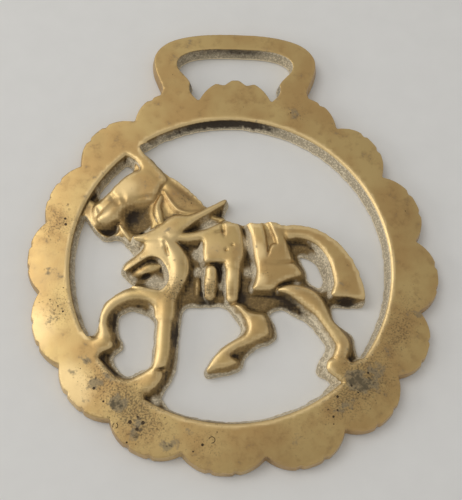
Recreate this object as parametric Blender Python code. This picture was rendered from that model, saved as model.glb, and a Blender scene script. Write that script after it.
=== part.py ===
"""Horse brass: a cast harness ornament, a horse in harness pierced in a scalloped ring with a strap hanger.

It lies on its flat back. +Z is out of the front, +Y points from the ring to the hanger, and the horse faces
-X. The front is a relief: one height for each point of the plan. Openings and forms are drawn around the
centre of the round opening, the horse in figure units, of which the opening's radius has FIGURE_RADIUS.
"""

import math

import bmesh
import bpy
import numpy as np

# Driving sizes in metres
OPENING_RADIUS = 0.0290
RIM_WIDTH = 0.0086
LOBE_DEPTH = 0.0026
HANGER_WIDTH = 0.0329
HANGER_RISE = 0.0115
HANGER_BAR = 0.0044
HANGER_SHIFT = -0.0003
HANGER_LEAN = math.radians(1.2)
SLOT_WIDTH = 0.0222
THICKNESS = 0.0028
RELIEF_RISE = 0.0006
WEB_THICKNESS = 0.0012
EDGE_THICKNESS = 0.0005
OPENING_FLARE = 0.00065
FORM_DRAFT = 0.0008
EDGE_DRAFT = 0.00045
EDGE_ROUND = 0.0003
FILLET = 0.0005
CROWN_REACH = 0.0009
BOWL_CURVE = 1.5
FAR = 0.004
CHAMFER_DROP = 0.0005
NICK_DEPTH = 0.0004

# The rim's lobes, counterclockwise from +X. For each: how far the cusp at its end strays in degrees, and
# how far that cusp and the lobe's tip stray outwards, as shares of the lobes' depth
LOBE_STRAYS = ((-2.2, -0.08, 0.19), (-0.9, -0.38, -0.15), (-1.2, -0.04, -0.12), (-0.5, -0.12, 0.08),
               (1.2, -0.23, 0.31), (1.1, -0.23, -0.08), (1.9, -0.31, -0.27), (0.9, -0.04, -0.54),
               (0.6, -0.04, -0.27), (0.9, 0.23, -0.12), (-0.4, 0.12, -0.12), (-0.9, 0.04, -0.04),
               (0.0, 0.08, -0.08), (0.9, 0.35, 0.31), (0.1, 0.38, 0.5), (-1.9, 0.12, 0.35))
LOBES = len(LOBE_STRAYS)
LOBE_STEPS = 36
LOBE_FULLNESS = 2.5
CREST_LOBE = 4
CREST_NICKS = 2.4
NICK_OFFSET = math.radians(3.3)
NICK_HALF_ANGLE = math.radians(0.9)

# The horse's own units
FIGURE_RADIUS = 29.0
UNIT = OPENING_RADIUS / FIGURE_RADIUS

# Mesh
GRID_PITCH = 0.00042
FACETS = 9300
SPAN_STEPS = 5

BRASS_COLOUR = (0.42, 0.27, 0.09, 1.0)


# Curves

def spline(points, closed=True):
    """A smooth curve through points, a Catmull-Rom spline read at SPAN_STEPS places in each span."""
    knots = np.array(points, dtype=float)
    if closed:
        before, after, beyond = np.roll(knots, 1, 0), np.roll(knots, -1, 0), np.roll(knots, -2, 0)
    else:
        padded = np.vstack([2 * knots[0] - knots[1], knots, 2 * knots[-1] - knots[-2]])
        before, knots, after, beyond = padded[:-3], padded[1:-2], padded[2:-1], padded[3:]
    share = (np.arange(SPAN_STEPS) / SPAN_STEPS)[None, :, None]
    a, b, c, d = (row[:, None, :] for row in (before, knots, after, beyond))
    curve = b + 0.5 * share * (c - a + share * (2 * a - 5 * b + 4 * c - d + share * (3 * (b - c) + d - a)))
    curve = curve.reshape(-1, knots.shape[1])
    return curve if closed else np.vstack([curve, after[-1]])


def figure(points):
    """A closed outline of the horse, given in figure units, in metres."""
    return spline(points) * UNIT


def arc(radius, start, end, step=math.radians(2.0)):
    """Points on a circle round the opening's centre, from one angle to another."""
    count = max(2, round(abs(end - start) / step))
    angles = np.linspace(start, end, count)
    return radius * np.column_stack([np.cos(angles), np.sin(angles)])


def angle_of(point):
    return math.atan2(point[1], point[0])


# Distances

def outline_distance(p, outline):
    """Signed distance from points p to a closed outline, negative inside it, and at most FAR."""
    order = np.argsort(p[:, 1], kind="stable")
    x, y = p[order].T
    nearest = np.full(len(p), FAR ** 2)
    inside = np.zeros(len(p), dtype=bool)
    for start, end in zip(outline, np.roll(outline, -1, 0)):
        run = end - start
        low, high = sorted((start[1], end[1]))
        band = slice(*np.searchsorted(y, (low - FAR, high + FAR)))
        across, up = x[band] - start[0], y[band] - start[1]
        share = np.clip((across * run[0] + up * run[1]) / max(run @ run, 1e-18), 0.0, 1.0)
        gap = (across - share * run[0]) ** 2 + (up - share * run[1]) ** 2
        nearest[band] = np.minimum(nearest[band], gap)
        band = slice(*np.searchsorted(y, (low, high)))
        if low < high:
            inside[band] ^= x[band] - start[0] < (y[band] - start[1]) * run[0] / run[1]
    distance = np.empty(len(p))
    distance[order] = np.where(inside, -1.0, 1.0) * np.sqrt(nearest)
    return distance


def stroke_distance(p, stations):
    """Signed distance from points p to a stroke's edge, with its half-width and share of height there."""
    track = spline(stations, closed=False)
    best = np.full(len(p), np.inf)
    found = np.zeros((len(p), 2))
    for start, end in zip(track[:-1], track[1:]):
        run = (end - start)[:2] * UNIT
        offset = p - start[:2] * UNIT
        share = np.clip(offset @ run / max(run @ run, 1e-18), 0.0, 1.0)
        width_and_height = start[2:] + share[:, None] * (end - start)[2:]
        distance = np.hypot(*(offset - share[:, None] * run).T) - width_and_height[:, 0] * UNIT
        nearer = distance < best
        best = np.where(nearer, distance, best)
        found[nearer] = width_and_height[nearer]
    return best, found[:, 0] * UNIT, found[:, 1]


def near(p, outline, margin):
    """Which of the points lie within the margin of an outline's box."""
    return np.all((p > outline.min(0) - margin) & (p < outline.max(0) + margin), axis=1)


def smooth_max(a, b, blend):
    return np.maximum(a, b) + np.maximum(blend - np.abs(a - b), 0.0) ** 2 / (4 * blend)


def smooth_min(a, b, blend):
    return -smooth_max(-a, -b, blend)


# The plan: rim, hanger, slot and openings

def rim_outline():
    """The scalloped edge: arcs from cusp to cusp, each with two small nicks beside its middle."""
    pitch = 2 * math.pi / LOBES
    tip = OPENING_RADIUS + RIM_WIDTH
    ends = [((number + 0.5) * pitch + math.radians(turn), tip + LOBE_DEPTH * (reach - 1))
            for number, (turn, reach, _) in enumerate(LOBE_STRAYS)]
    starts = [(ends[-1][0] - 2 * math.pi, ends[-1][1])] + ends[:-1]
    points = []
    for number, (start, end) in enumerate(zip(starts, ends)):
        rise = tip + LOBE_DEPTH * LOBE_STRAYS[number][2] - (start[1] + end[1]) / 2
        worn = CREST_NICKS if number == CREST_LOBE else 1.0
        for share in np.arange(LOBE_STEPS) / LOBE_STEPS:
            angle, foot = np.array(start) + share * np.subtract(end, start)
            bow = 1 - abs(2 * share - 1) ** LOBE_FULLNESS
            nick = max(0.0, 1 - abs(abs(share - 0.5) * pitch - NICK_OFFSET) / (NICK_HALF_ANGLE * worn))
            radius = foot + rise * bow - NICK_DEPTH * worn * nick
            points.append((radius * math.cos(angle), radius * math.sin(angle)))
    return np.array(points)


def leaning(half):
    """A closed outline that leans with the hanger, from its right half given from the bottom up."""
    right = np.array(half)
    outline = spline(np.vstack([right, right[::-1] * (-1, 1)]))
    foot = np.array((0.0, OPENING_RADIUS + RIM_WIDTH))
    sine, cosine = math.sin(HANGER_LEAN), math.cos(HANGER_LEAN)
    return foot + (HANGER_SHIFT, 0.0) + (outline - foot) @ np.array([[cosine, sine], [-sine, cosine]])


def hanger_outline():
    """The strap hanger: a loop with a narrow waist, wide shoulders and a low arched top."""
    half, foot = HANGER_WIDTH / 2, OPENING_RADIUS + RIM_WIDTH
    shares = [(0.86, -0.72), (0.885, -0.18), (0.92, -0.02), (0.975, 0.18), (1.0, 0.37), (0.985, 0.53),
              (0.9, 0.71), (0.75, 0.85), (0.5, 0.95), (0.2, 0.995)]
    return leaning([(across * half, foot + up * HANGER_RISE) for across, up in shares])


def slot_outline():
    """The strap slot at the back, down to where the crest lobe rises in it."""
    half, top = SLOT_WIDTH / 2, OPENING_RADIUS + RIM_WIDTH + HANGER_RISE - HANGER_BAR
    shares = [(0.47, 1.12), (0.58, 1.01), (0.685, 0.91), (0.75, 0.825), (0.765, 0.73), (0.757, 0.655),
              (0.8, 0.57), (0.88, 0.475), (0.965, 0.38), (1.0, 0.286), (0.97, 0.19), (0.865, 0.107),
              (0.7, 0.047), (0.45, 0.01), (0.15, 0.0)]
    return leaning([(across * half, top - down * HANGER_RISE) for across, down in shares])


def against_ring(points):
    """An opening of the figure that closes along the ring's foot, the short way round."""
    edge = spline(points, closed=False) * UNIT
    start = angle_of(edge[-1])
    turn = (angle_of(edge[0]) - start + math.pi) % (2 * math.pi) - math.pi
    return np.vstack([edge, arc(OPENING_RADIUS - OPENING_FLARE, start, start + turn)])


def back_opening():
    """The wide opening over the neck, the back and the tail."""
    return against_ring([
        (-17.4, 22.3), (-16.9, 21.4), (-15.2, 20.1), (-13.2, 18.1), (-11.6, 16.9), (-10.1, 16.0),
        (-8.1, 14.4), (-6.5, 12.9), (-5.0, 11.3), (-4.4, 11.2), (-3.2, 11.9), (-1.8, 12.7), (-1.0, 12.5),
        (-0.8, 11.6), (-1.3, 10.1), (-1.3, 8.9), (-0.5, 8.2), (0.6, 7.8), (2.3, 7.7), (3.4, 8.1),
        (4.6, 8.0), (6.2, 8.3), (7.8, 8.3), (9.5, 7.8), (12.0, 8.0), (14.1, 7.7), (16.3, 7.0), (18.4, 5.8),
        (20.4, 4.1), (22.0, 2.1), (23.2, -0.2), (24.1, -2.7), (24.5, -4.6), (24.6, -6.0), (24.2, -6.8),
        (23.4, -7.2), (21.4, -7.4), (19.2, -7.3), (18.5, -7.8), (18.6, -9.2), (19.0, -10.4), (20.0, -11.2),
        (21.4, -12.0), (22.2, -12.9), (22.5, -14.1), (22.7, -15.6), (23.1, -16.4)])


def face_opening():
    """The slot between the forehead and the ring."""
    return figure([
        (-25.0, 13.2), (-24.9, 12.5), (-24.3, 12.2), (-23.5, 13.1), (-22.6, 14.3), (-21.7, 15.4),
        (-20.8, 16.5), (-19.8, 17.3), (-19.2, 18.1), (-19.5, 18.9), (-20.3, 19.3), (-21.2, 18.6),
        (-22.4, 17.2), (-23.6, 15.6), (-24.4, 14.3)])


def chest_opening():
    """The opening in front of the chest, from the chin to the raised foreleg."""
    return against_ring([
        (-24.4, -14.4), (-23.6, -13.9), (-23.2, -12.4), (-23.1, -10.9), (-22.7, -9.1), (-21.8, -7.9),
        (-20.3, -6.5), (-18.8, -5.5), (-17.6, -5.0), (-18.0, -4.4), (-18.9, -3.5), (-19.7, -2.6),
        (-19.8, -1.6), (-19.3, -0.6), (-18.4, 0.3), (-17.9, 0.9), (-18.2, 1.7), (-19.2, 2.7), (-20.1, 3.8),
        (-21.2, 4.0), (-22.8, 3.7), (-23.8, 3.8), (-24.6, 4.5), (-25.4, 5.4), (-26.2, 6.5), (-27.0, 7.6)])


def foreleg_opening():
    """The opening between the two forelegs."""
    return figure([
        (-19.6, -11.4), (-19.1, -10.2), (-17.6, -9.5), (-16.2, -9.6), (-14.6, -10.2), (-13.5, -11.2),
        (-13.2, -12.6), (-13.2, -15.2), (-13.4, -18.4), (-13.8, -19.6), (-15.2, -20.1), (-16.7, -21.0),
        (-17.6, -21.2), (-18.6, -20.5), (-20.0, -18.6), (-19.5, -17.4), (-18.5, -16.4), (-18.5, -15.2),
        (-19.4, -13.5)])


def belly_opening():
    """The opening under the belly, round the raised hind leg."""
    return against_ring([
        (-10.0, -26.4), (-11.0, -25.0), (-10.9, -24.2), (-10.1, -22.7), (-9.3, -21.0), (-8.9, -19.4),
        (-8.7, -15.5), (-8.5, -11.5), (-8.3, -9.4), (-7.4, -8.4), (-5.0, -8.3), (-2.0, -8.0), (-0.8, -8.3),
        (0.1, -9.1), (1.1, -10.2), (1.9, -11.5), (2.0, -12.6), (1.5, -13.5), (-0.9, -15.3), (-2.4, -16.8),
        (-3.4, -18.4), (-4.1, -20.2), (-3.6, -21.1), (-2.0, -20.9), (1.1, -20.1), (2.5, -19.2),
        (2.9, -18.0), (3.7, -16.7), (5.4, -15.4), (7.6, -14.5), (8.5, -13.5), (8.4, -12.0), (7.8, -10.3),
        (7.3, -9.3), (8.0, -8.5), (9.7, -8.2), (12.2, -9.5), (14.3, -10.7), (15.9, -12.5), (17.0, -14.3),
        (17.2, -15.3), (16.1, -17.1), (15.5, -18.7), (15.7, -19.7), (17.4, -20.7), (17.9, -21.5),
        (16.6, -22.8)])


def tail_opening():
    """The small opening between the tail and the haunch."""
    return figure([
        (12.7, 1.9), (13.5, 2.1), (15.3, 1.1), (16.2, -0.2), (16.9, -2.0), (16.8, -3.1), (16.2, -3.8),
        (15.0, -3.3), (14.3, -2.6), (13.7, -0.4)])


class Plan:
    """The brass seen from the front: where there is metal, and how far its nearest edge is."""

    def __init__(self):
        self.rim = rim_outline()
        self.hanger = hanger_outline()
        self.slot = slot_outline()
        self.openings = [back_opening(), face_opening(), chest_opening(), foreleg_opening(), belly_opening(),
                         tail_opening()]

    def box(self):
        corners = np.vstack([self.rim, self.hanger])
        return corners.min(0), corners.max(0)

    def distance(self, p):
        """Distance to the metal's nearest edge, negative where there is none."""
        hanger = np.minimum(-outline_distance(p, self.hanger), outline_distance(p, self.slot))
        metal = np.maximum(-outline_distance(p, self.rim), hanger)
        for opening in self.openings:
            close = near(p, opening, THICKNESS)
            metal[close] = np.minimum(metal[close], outline_distance(p[close], opening))
        return metal


# The relief

class Relief:
    """Heights of the front over points p, built up and cut back form by form.

    A share of 0 is the web between the forms, and 1 is the highest spot of the horse.
    """

    def __init__(self, p):
        self.p = p
        self.z = np.full(len(p), WEB_THICKNESS)

    def level(self, share):
        return WEB_THICKNESS + share * (THICKNESS + RELIEF_RISE - WEB_THICKNESS)

    def wall(self, distance, draft):
        """How far a form has fallen at a distance from its edge: a rounded shoulder, then a sloping wall."""
        shoulder = EDGE_ROUND * np.clip(1 + distance / (2 * EDGE_ROUND), 0.0, 1.0) ** 2
        return shoulder + np.maximum(distance, 0.0) * (THICKNESS - WEB_THICKNESS) / draft

    def plate(self, points, share, draft=1.0, crown=0.0):
        """Raise a form from its outline in figure units. Its top falls by the crown towards its edge."""
        outline = figure(points)
        close = near(self.p, outline, 3 * FORM_DRAFT * draft)
        distance = outline_distance(self.p[close], outline)
        sag = crown * UNIT * np.exp(np.minimum(distance, 0.0) / CROWN_REACH)
        top = self.level(share) - sag - self.wall(distance, draft * FORM_DRAFT)
        self.z[close] = smooth_max(self.z[close], top, FILLET)

    def stroke(self, stations, draft=1.0, crown=0.2):
        """Raise a rounded limb or strap from its stations: x, y, half-width and share of height."""
        widest = max(station[2] for station in stations) * UNIT
        close = near(self.p, np.array(stations)[:, :2] * UNIT, widest + 3 * FORM_DRAFT * draft)
        distance, half, share = stroke_distance(self.p[close], stations)
        across = np.clip(1 + distance / half, 0.0, 1.0)
        top = self.level(share) - crown * half * across ** 2 - self.wall(distance, draft * FORM_DRAFT)
        self.z[close] = smooth_max(self.z[close], top, FILLET)

    def hollow(self, points, share, reach=1.0):
        """Sink a bowl from its outline at the brim. Its floor begins within the reach of the brim."""
        outline = figure(points)
        close = near(self.p, outline, FORM_DRAFT)
        distance = outline_distance(self.p[close], outline)
        climb = np.maximum(1 + distance / (reach * UNIT), 0.0) ** BOWL_CURVE
        floor = self.level(share) + climb * (self.level(1.0) - self.level(share))
        self.z[close] = smooth_min(self.z[close], floor, EDGE_ROUND)

    def groove(self, stations):
        """Cut a groove from its stations: x, y, half-width and share of depth."""
        widest = max(station[2] for station in stations) * UNIT
        close = near(self.p, np.array(stations)[:, :2] * UNIT, widest)
        distance, half, share = stroke_distance(self.p[close], stations)
        depth = np.clip(-distance / half, 0.0, 1.0)
        self.z[close] -= (self.level(share) - WEB_THICKNESS) * depth * depth * (3 - 2 * depth)


def ring_joins():
    """Outlines of the forehead and of the three feet on the ring, where they run level into it."""
    poll = [(-21.8, 21.6), (-19.5, 20.1), (-18.5, 19.4), (-17.7, 18.3), (-17.8, 17.5), (-18.6, 17.1),
            (-19.4, 16.7), (-20.4, 15.9), (-21.4, 14.8), (-22.4, 13.6), (-22.6, 12.4), (-21.2, 11.4),
            (-18.6, 11.5), (-16.2, 12.2), (-14.4, 12.7), (-13.8, 14.2), (-12.6, 15.8), (-13.9, 17.7),
            (-15.6, 19.6), (-17.2, 21.6), (-16.8, 24.2), (-20.0, 25.0)]
    raised_foot = [(-23.2, -15.2), (-21.5, -15.2), (-20.2, -15.7), (-20.2, -16.6), (-21.2, -17.2),
                   (-22.2, -17.9), (-23.1, -19.8), (-26.0, -18.6), (-26.8, -14.2), (-25.0, -13.8),
                   (-23.9, -15.0)]
    standing_foot = [(-13.0, -20.0), (-11.5, -20.4), (-11.2, -21.4), (-11.8, -22.6), (-13.0, -23.8),
                     (-14.2, -24.4), (-14.0, -27.4), (-18.6, -25.4), (-20.2, -21.8), (-17.2, -22.2),
                     (-15.0, -21.2)]
    hind_foot = [(17.6, -17.4), (19.6, -17.2), (20.6, -17.2), (21.6, -17.8), (23.4, -17.0), (25.6, -17.0),
                 (24.2, -21.4), (20.8, -24.0), (19.7, -21.4), (17.4, -19.5), (17.1, -18.4)]
    return figure(poll), figure(raised_foot), figure(standing_foot), figure(hind_foot)


def raise_ring(relief):
    """The flat ring and hanger. The wall of the round opening flares, and the lobes slope down outwards."""
    radius = np.hypot(*relief.p.T)
    inward = OPENING_RADIUS - radius
    slope = (THICKNESS - EDGE_THICKNESS) / OPENING_FLARE
    shoulder = EDGE_ROUND * np.clip(1 + inward / (2 * EDGE_ROUND), 0.0, 1.0) ** 2
    lobes = np.clip((radius - OPENING_RADIUS) / RIM_WIDTH, 0.0, 1.0)
    on_rim = np.clip((OPENING_RADIUS + RIM_WIDTH / 2 - relief.p[:, 1]) / RIM_WIDTH, 0.0, 1.0)
    top = THICKNESS - shoulder - np.maximum(inward, 0.0) * slope - CHAMFER_DROP * on_rim * lobes ** 3
    for join in ring_joins():
        close = near(relief.p, join, 3 * FORM_DRAFT)
        fall = relief.wall(outline_distance(relief.p[close], join), FORM_DRAFT)
        top[close] = np.maximum(top[close], THICKNESS - fall)
    relief.z = smooth_max(relief.z, top, FILLET)


def raise_head(relief):
    """Head turned down to the ring: forehead, nose ridge, bowls of cheek and mouth, and lips."""
    relief.plate([(-16.5, 21.0), (-4.0, 12.0), (-9.0, 6.5), (-15.5, 3.8), (-18.0, 3.5), (-19.6, 4.2),
                  (-21.0, 3.8), (-22.6, 3.4), (-24.2, 4.3), (-25.5, 5.8), (-27.3, 7.6), (-28.2, 9.2),
                  (-26.6, 11.2), (-24.6, 11.0), (-20.0, 15.8)], 0.36, draft=1.2)
    relief.plate([(-18.4, 17.2), (-19.3, 16.8), (-20.4, 15.9), (-21.4, 14.8), (-22.4, 13.6), (-23.4, 12.4),
                  (-24.5, 11.0), (-25.6, 9.9), (-25.7, 8.4), (-25.2, 7.0), (-24.5, 6.2), (-23.3, 5.8),
                  (-22.3, 6.2), (-21.3, 6.9), (-20.4, 7.2), (-20.0, 8.2), (-19.2, 9.4), (-18.2, 10.3),
                  (-16.6, 10.9), (-15.0, 11.2), (-14.3, 12.2), (-13.7, 13.6), (-13.6, 15.0), (-14.6, 16.4),
                  (-16.0, 17.6)], 0.68, draft=1.3, crown=0.2)
    relief.stroke([(-18.0, 14.4, 2.2, 0.66), (-19.4, 12.2, 2.2, 0.78), (-20.8, 10.2, 2.0, 0.92),
                   (-22.3, 8.3, 1.8, 1.0), (-23.7, 7.4, 1.3, 0.96)], draft=2.0, crown=0.4)
    relief.groove([(-22.6, 12.3, 0.8, 0.04), (-21.9, 11.0, 0.9, 0.1), (-21.1, 10.0, 0.7, 0.05)])
    relief.groove([(-20.6, 12.6, 0.7, 0.03), (-20.2, 11.5, 0.8, 0.08), (-20.0, 10.6, 0.6, 0.04)])
    relief.groove([(-24.9, 9.6, 0.6, 0.05), (-24.3, 8.6, 0.7, 0.1), (-24.7, 7.7, 0.6, 0.06)])
    relief.hollow([(-14.2, 12.0), (-16.3, 11.8), (-18.4, 11.2), (-20.1, 10.0), (-21.1, 8.3), (-21.1, 6.4),
                   (-20.2, 4.8), (-18.8, 3.6), (-16.9, 3.2), (-15.2, 3.9), (-13.9, 5.4), (-13.5, 7.2),
                   (-13.9, 8.9), (-14.1, 10.3)], -0.15, reach=2.6)
    relief.hollow([(-26.0, 6.2), (-25.0, 6.8), (-23.5, 6.4), (-22.3, 6.8), (-21.2, 7.5), (-20.0, 7.5),
                   (-19.8, 5.6), (-20.6, 4.0), (-22.2, 3.2), (-24.0, 3.7), (-25.3, 4.8)], -0.1, reach=1.7)
    relief.stroke([(-20.6, 6.3, 0.4, 0.52), (-19.8, 5.1, 0.5, 0.6), (-18.7, 3.8, 0.5, 0.5)],
                  draft=1.2, crown=0.5)
    relief.stroke([(-13.4, 12.4, 0.6, 0.56), (-13.9, 10.4, 0.8, 0.68), (-13.7, 8.8, 1.0, 0.76),
                   (-13.2, 7.4, 0.8, 0.7), (-12.8, 6.4, 0.6, 0.6)], draft=2.5, crown=0.6)


def raise_neck_and_hames(relief):
    """Mane, neck and the pointed hames over the collar."""
    relief.plate([(-13.6, 16.8), (-11.9, 15.4), (-9.0, 13.2), (-5.3, 10.3), (-6.5, 9.0), (-9.0, 9.0),
                  (-11.2, 10.4), (-12.8, 12.8), (-13.3, 15.0)], 0.5, draft=2.5, crown=0.1)
    relief.hollow([(-13.3, 13.6), (-12.6, 12.4), (-11.4, 10.6), (-10.5, 9.5), (-11.4, 8.7), (-12.6, 8.6),
                   (-13.1, 10.0), (-13.3, 11.8)], 0.36, reach=1.3)
    relief.stroke([(-12.9, 13.5, 0.4, 0.5), (-12.0, 12.0, 0.5, 0.56), (-10.8, 10.4, 0.6, 0.6),
                   (-9.8, 9.6, 0.6, 0.64), (-8.2, 9.2, 0.6, 0.66), (-6.6, 9.5, 0.5, 0.62),
                   (-5.2, 10.2, 0.4, 0.55)], draft=4.0, crown=0.3)
    relief.plate([(-1.5, 12.0), (-3.4, 11.0), (-5.0, 10.1), (-6.6, 9.2), (-8.2, 8.6), (-10.3, 8.5),
                  (-11.6, 7.9), (-13.0, 6.6), (-14.6, 5.4), (-16.2, 4.6), (-17.8, 4.0), (-17.6, 3.3),
                  (-15.8, 2.9), (-13.0, 2.9), (-10.5, 3.4), (-9.4, 4.9), (-8.4, 6.0), (-7.2, 7.1),
                  (-5.9, 8.1), (-4.4, 9.1), (-2.9, 10.2), (-1.2, 11.4)], 0.92, crown=0.12)


def raise_shoulder(relief):
    """Collar and shoulder, with the hollow in front of the collar and the bead in it."""
    relief.plate([(-15.6, 4.2), (-16.0, 1.8), (-17.2, 0.3), (-19.0, -1.4), (-19.5, -3.0), (-18.3, -5.0),
                  (-16.0, -7.0), (-13.5, -9.2), (-12.9, -11.5), (-9.9, -11.5), (-9.5, -7.6), (-8.5, -5.2),
                  (-7.7, -3.2), (-7.5, -1.4), (-7.9, 0.3), (-8.8, 1.8), (-9.9, 3.2), (-12.0, 5.0)],
                 0.9, crown=0.3)
    relief.stroke([(-12.4, 3.4, 0.9, 0.94), (-10.6, 1.2, 1.3, 0.98), (-9.6, -1.6, 1.3, 0.98),
                   (-9.9, -4.6, 1.0, 0.9), (-10.9, -7.4, 0.8, 0.84)], draft=2.0, crown=0.35)
    relief.groove([(-12.2, 3.0, 0.4, 0.08), (-11.8, 1.8, 0.5, 0.2), (-11.4, 0.6, 0.4, 0.08)])
    relief.hollow([(-19.1, -3.0), (-17.6, -1.7), (-16.2, -0.6), (-15.0, 0.2), (-14.0, 0.3), (-12.8, -0.1),
                   (-11.8, -1.2), (-11.1, -2.5), (-10.9, -3.8), (-11.3, -5.1), (-12.4, -6.2), (-14.0, -6.1),
                   (-16.0, -5.7), (-17.6, -5.5), (-19.0, -4.2)], 0.0, reach=1.2)
    relief.stroke([(-17.7, -3.2, 0.5, 0.24), (-16.2, -2.3, 1.1, 0.36), (-14.6, -1.5, 1.2, 0.42),
                   (-13.2, -1.3, 0.8, 0.34)], draft=1.4, crown=0.4)
    relief.groove([(-16.6, -4.0, 0.5, 0.02), (-15.2, -3.1, 0.6, 0.16), (-13.8, -2.7, 0.4, 0.04)])


def raise_forelegs(relief):
    """The raised foreleg, bent at the knee, and the standing one. Both feet run on level with the ring."""
    relief.stroke([(-11.4, -8.6, 1.6, 0.88), (-13.2, -7.5, 1.3, 0.9), (-15.4, -6.9, 1.1, 0.92),
                   (-17.4, -7.0, 1.05, 0.92), (-19.2, -7.7, 1.05, 0.9), (-20.9, -9.0, 1.0, 0.9),
                   (-21.9, -10.8, 0.85, 0.88), (-22.1, -12.4, 0.8, 0.85), (-21.8, -13.8, 0.95, 0.82),
                   (-21.8, -15.0, 1.4, 0.79), (-22.6, -16.2, 1.3, 0.7)], draft=1.3, crown=0.25)
    relief.stroke([(-11.3, -7.5, 1.6, 0.88), (-11.3, -10.5, 1.35, 0.92), (-11.4, -13.5, 1.35, 0.92),
                   (-11.4, -16.5, 1.35, 0.9), (-11.7, -19.0, 1.3, 0.87), (-12.4, -20.2, 0.9, 0.82),
                   (-13.0, -21.8, 1.7, 0.74), (-14.2, -23.2, 1.6, 0.66)], draft=1.1, crown=0.25)
    relief.groove([(-12.4, -20.5, 0.3, 0.05), (-11.6, -20.3, 0.45, 0.3), (-11.0, -20.1, 0.45, 0.2)])


def raise_saddle(relief):
    """Saddle pad, with its strap to the collar and two straps below it, then girth and rump cloth."""
    relief.stroke([(-3.6, 8.7, 0.5, 0.3), (0.0, 8.0, 0.6, 0.36), (3.2, 7.7, 0.6, 0.34)], crown=0.2)
    relief.plate([(-12.0, 5.2), (-9.3, 5.1), (-7.3, 5.2), (-5.0, 5.9), (-3.6, 6.6), (-2.4, 7.2),
                  (-1.4, 7.6), (0.2, 7.8), (1.2, 7.0), (1.8, 5.2), (2.1, 3.0), (2.1, 1.2), (1.7, -0.4),
                  (1.4, -1.4), (-0.9, -1.2), (-1.3, -0.4), (-2.8, -0.3), (-4.5, -0.5), (-5.0, 0.4),
                  (-5.2, 1.8), (-5.2, 3.2), (-5.6, 3.8), (-6.6, 3.7), (-8.0, 3.45), (-9.8, 3.55),
                  (-11.4, 3.8)], 0.92, draft=1.2, crown=0.15)
    relief.groove([(-1.9, 7.5, 0.6, 0.08), (-1.7, 6.2, 0.6, 0.18), (-1.5, 4.9, 0.5, 0.1)])
    relief.groove([(-2.9, 5.4, 0.4, 0.06), (-1.8, 5.7, 0.5, 0.12)])
    relief.stroke([(-6.0, -2.5, 0.5, 0.12), (-5.9, -4.4, 0.6, 0.3), (-5.9, -6.2, 0.5, 0.26)],
                  draft=1.5, crown=0.4)
    relief.stroke([(-3.6, -1.9, 1.1, 0.84), (-3.6, -4.3, 1.15, 0.84), (-3.6, -6.3, 1.05, 0.5)],
                  draft=0.8, crown=0.25)
    relief.stroke([(0.3, -0.8, 1.3, 0.9), (0.3, -3.8, 1.25, 0.86), (0.4, -6.6, 1.1, 0.55)],
                  draft=0.9, crown=0.2)
    relief.plate([(2.7, 8.6), (3.5, 5.0), (4.1, 1.4), (4.6, -1.2), (4.5, -3.2), (4.1, -5.1), (6.0, -5.3),
                  (7.6, -5.0), (8.8, -3.9), (10.6, -2.9), (12.6, -2.1), (12.3, -1.0), (11.3, 0.2),
                  (10.8, 1.4), (10.2, 3.4), (9.6, 5.4), (8.6, 8.6)], 0.88, draft=1.2, crown=0.2)
    relief.hollow([(5.2, 8.0), (6.7, 8.2), (7.6, 6.4), (8.3, 4.6), (8.4, 3.4), (7.5, 3.1), (6.9, 1.4),
                   (6.4, 0.8), (6.1, 3.0), (5.8, 5.2)], 0.6, reach=0.7)
    relief.groove([(6.4, -0.1, 0.6, 0.04), (8.4, -0.1, 0.6, 0.08), (11.0, 0.4, 0.7, 0.18)])


def raise_hindquarters(relief):
    """Croup and tail as one broad arch, the near hind leg that stands on the ring, and the raised far one."""
    relief.plate([(8.6, 8.6), (9.9, 5.0), (12.0, 5.1), (14.0, 4.7), (15.6, 3.8), (16.8, 2.4), (17.7, 0.8),
                  (18.3, -1.2), (18.6, -3.4), (18.2, -5.7), (20.8, -5.9), (24.8, -6.2), (25.0, -3.0),
                  (22.0, 4.0), (16.0, 8.4)], 0.84, crown=0.15)
    relief.stroke([(8.9, -5.0, 0.4, 0.74), (10.4, -5.0, 0.9, 0.84), (12.2, -5.5, 1.4, 0.88),
                   (14.3, -6.7, 1.7, 0.9), (16.0, -8.6, 1.3, 0.92), (17.3, -10.8, 1.0, 0.92),
                   (18.8, -12.8, 1.15, 0.92), (19.9, -14.6, 1.25, 0.9), (19.5, -16.6, 1.2, 0.86),
                   (18.9, -18.4, 1.6, 0.7)], draft=1.2, crown=0.2)
    relief.plate([(0.9, -8.3), (2.1, -9.7), (3.0, -11.0), (3.2, -12.3), (2.6, -13.6), (0.5, -14.9),
                  (-1.0, -16.0), (-2.4, -17.4), (-3.4, -19.0), (-3.9, -20.6), (-2.0, -19.9), (0.2, -19.3),
                  (1.4, -18.5), (0.3, -17.3), (1.6, -16.1), (3.5, -15.2), (5.2, -14.3), (6.9, -13.2),
                  (6.7, -11.6), (6.1, -9.9), (4.4, -9.6), (3.1, -9.2), (2.0, -8.3)],
                 0.86, draft=1.4, crown=0.2)


def front_height(p, edge):
    """Height of the front at points p, whose nearest edge of the metal is at the given distance."""
    relief = Relief(p)
    relief.z = EDGE_THICKNESS + (WEB_THICKNESS - EDGE_THICKNESS) * np.clip(edge / WEB_THICKNESS, 0.0, 1.0)
    raise_head(relief)
    raise_neck_and_hames(relief)
    raise_shoulder(relief)
    raise_saddle(relief)
    raise_hindquarters(relief)
    raise_forelegs(relief)
    raise_ring(relief)
    rise = EDGE_THICKNESS + np.maximum(edge, 0.0) * (THICKNESS - EDGE_THICKNESS) / EDGE_DRAFT
    return np.maximum(smooth_min(relief.z, rise, EDGE_ROUND), EDGE_THICKNESS)


# The mesh

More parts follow.
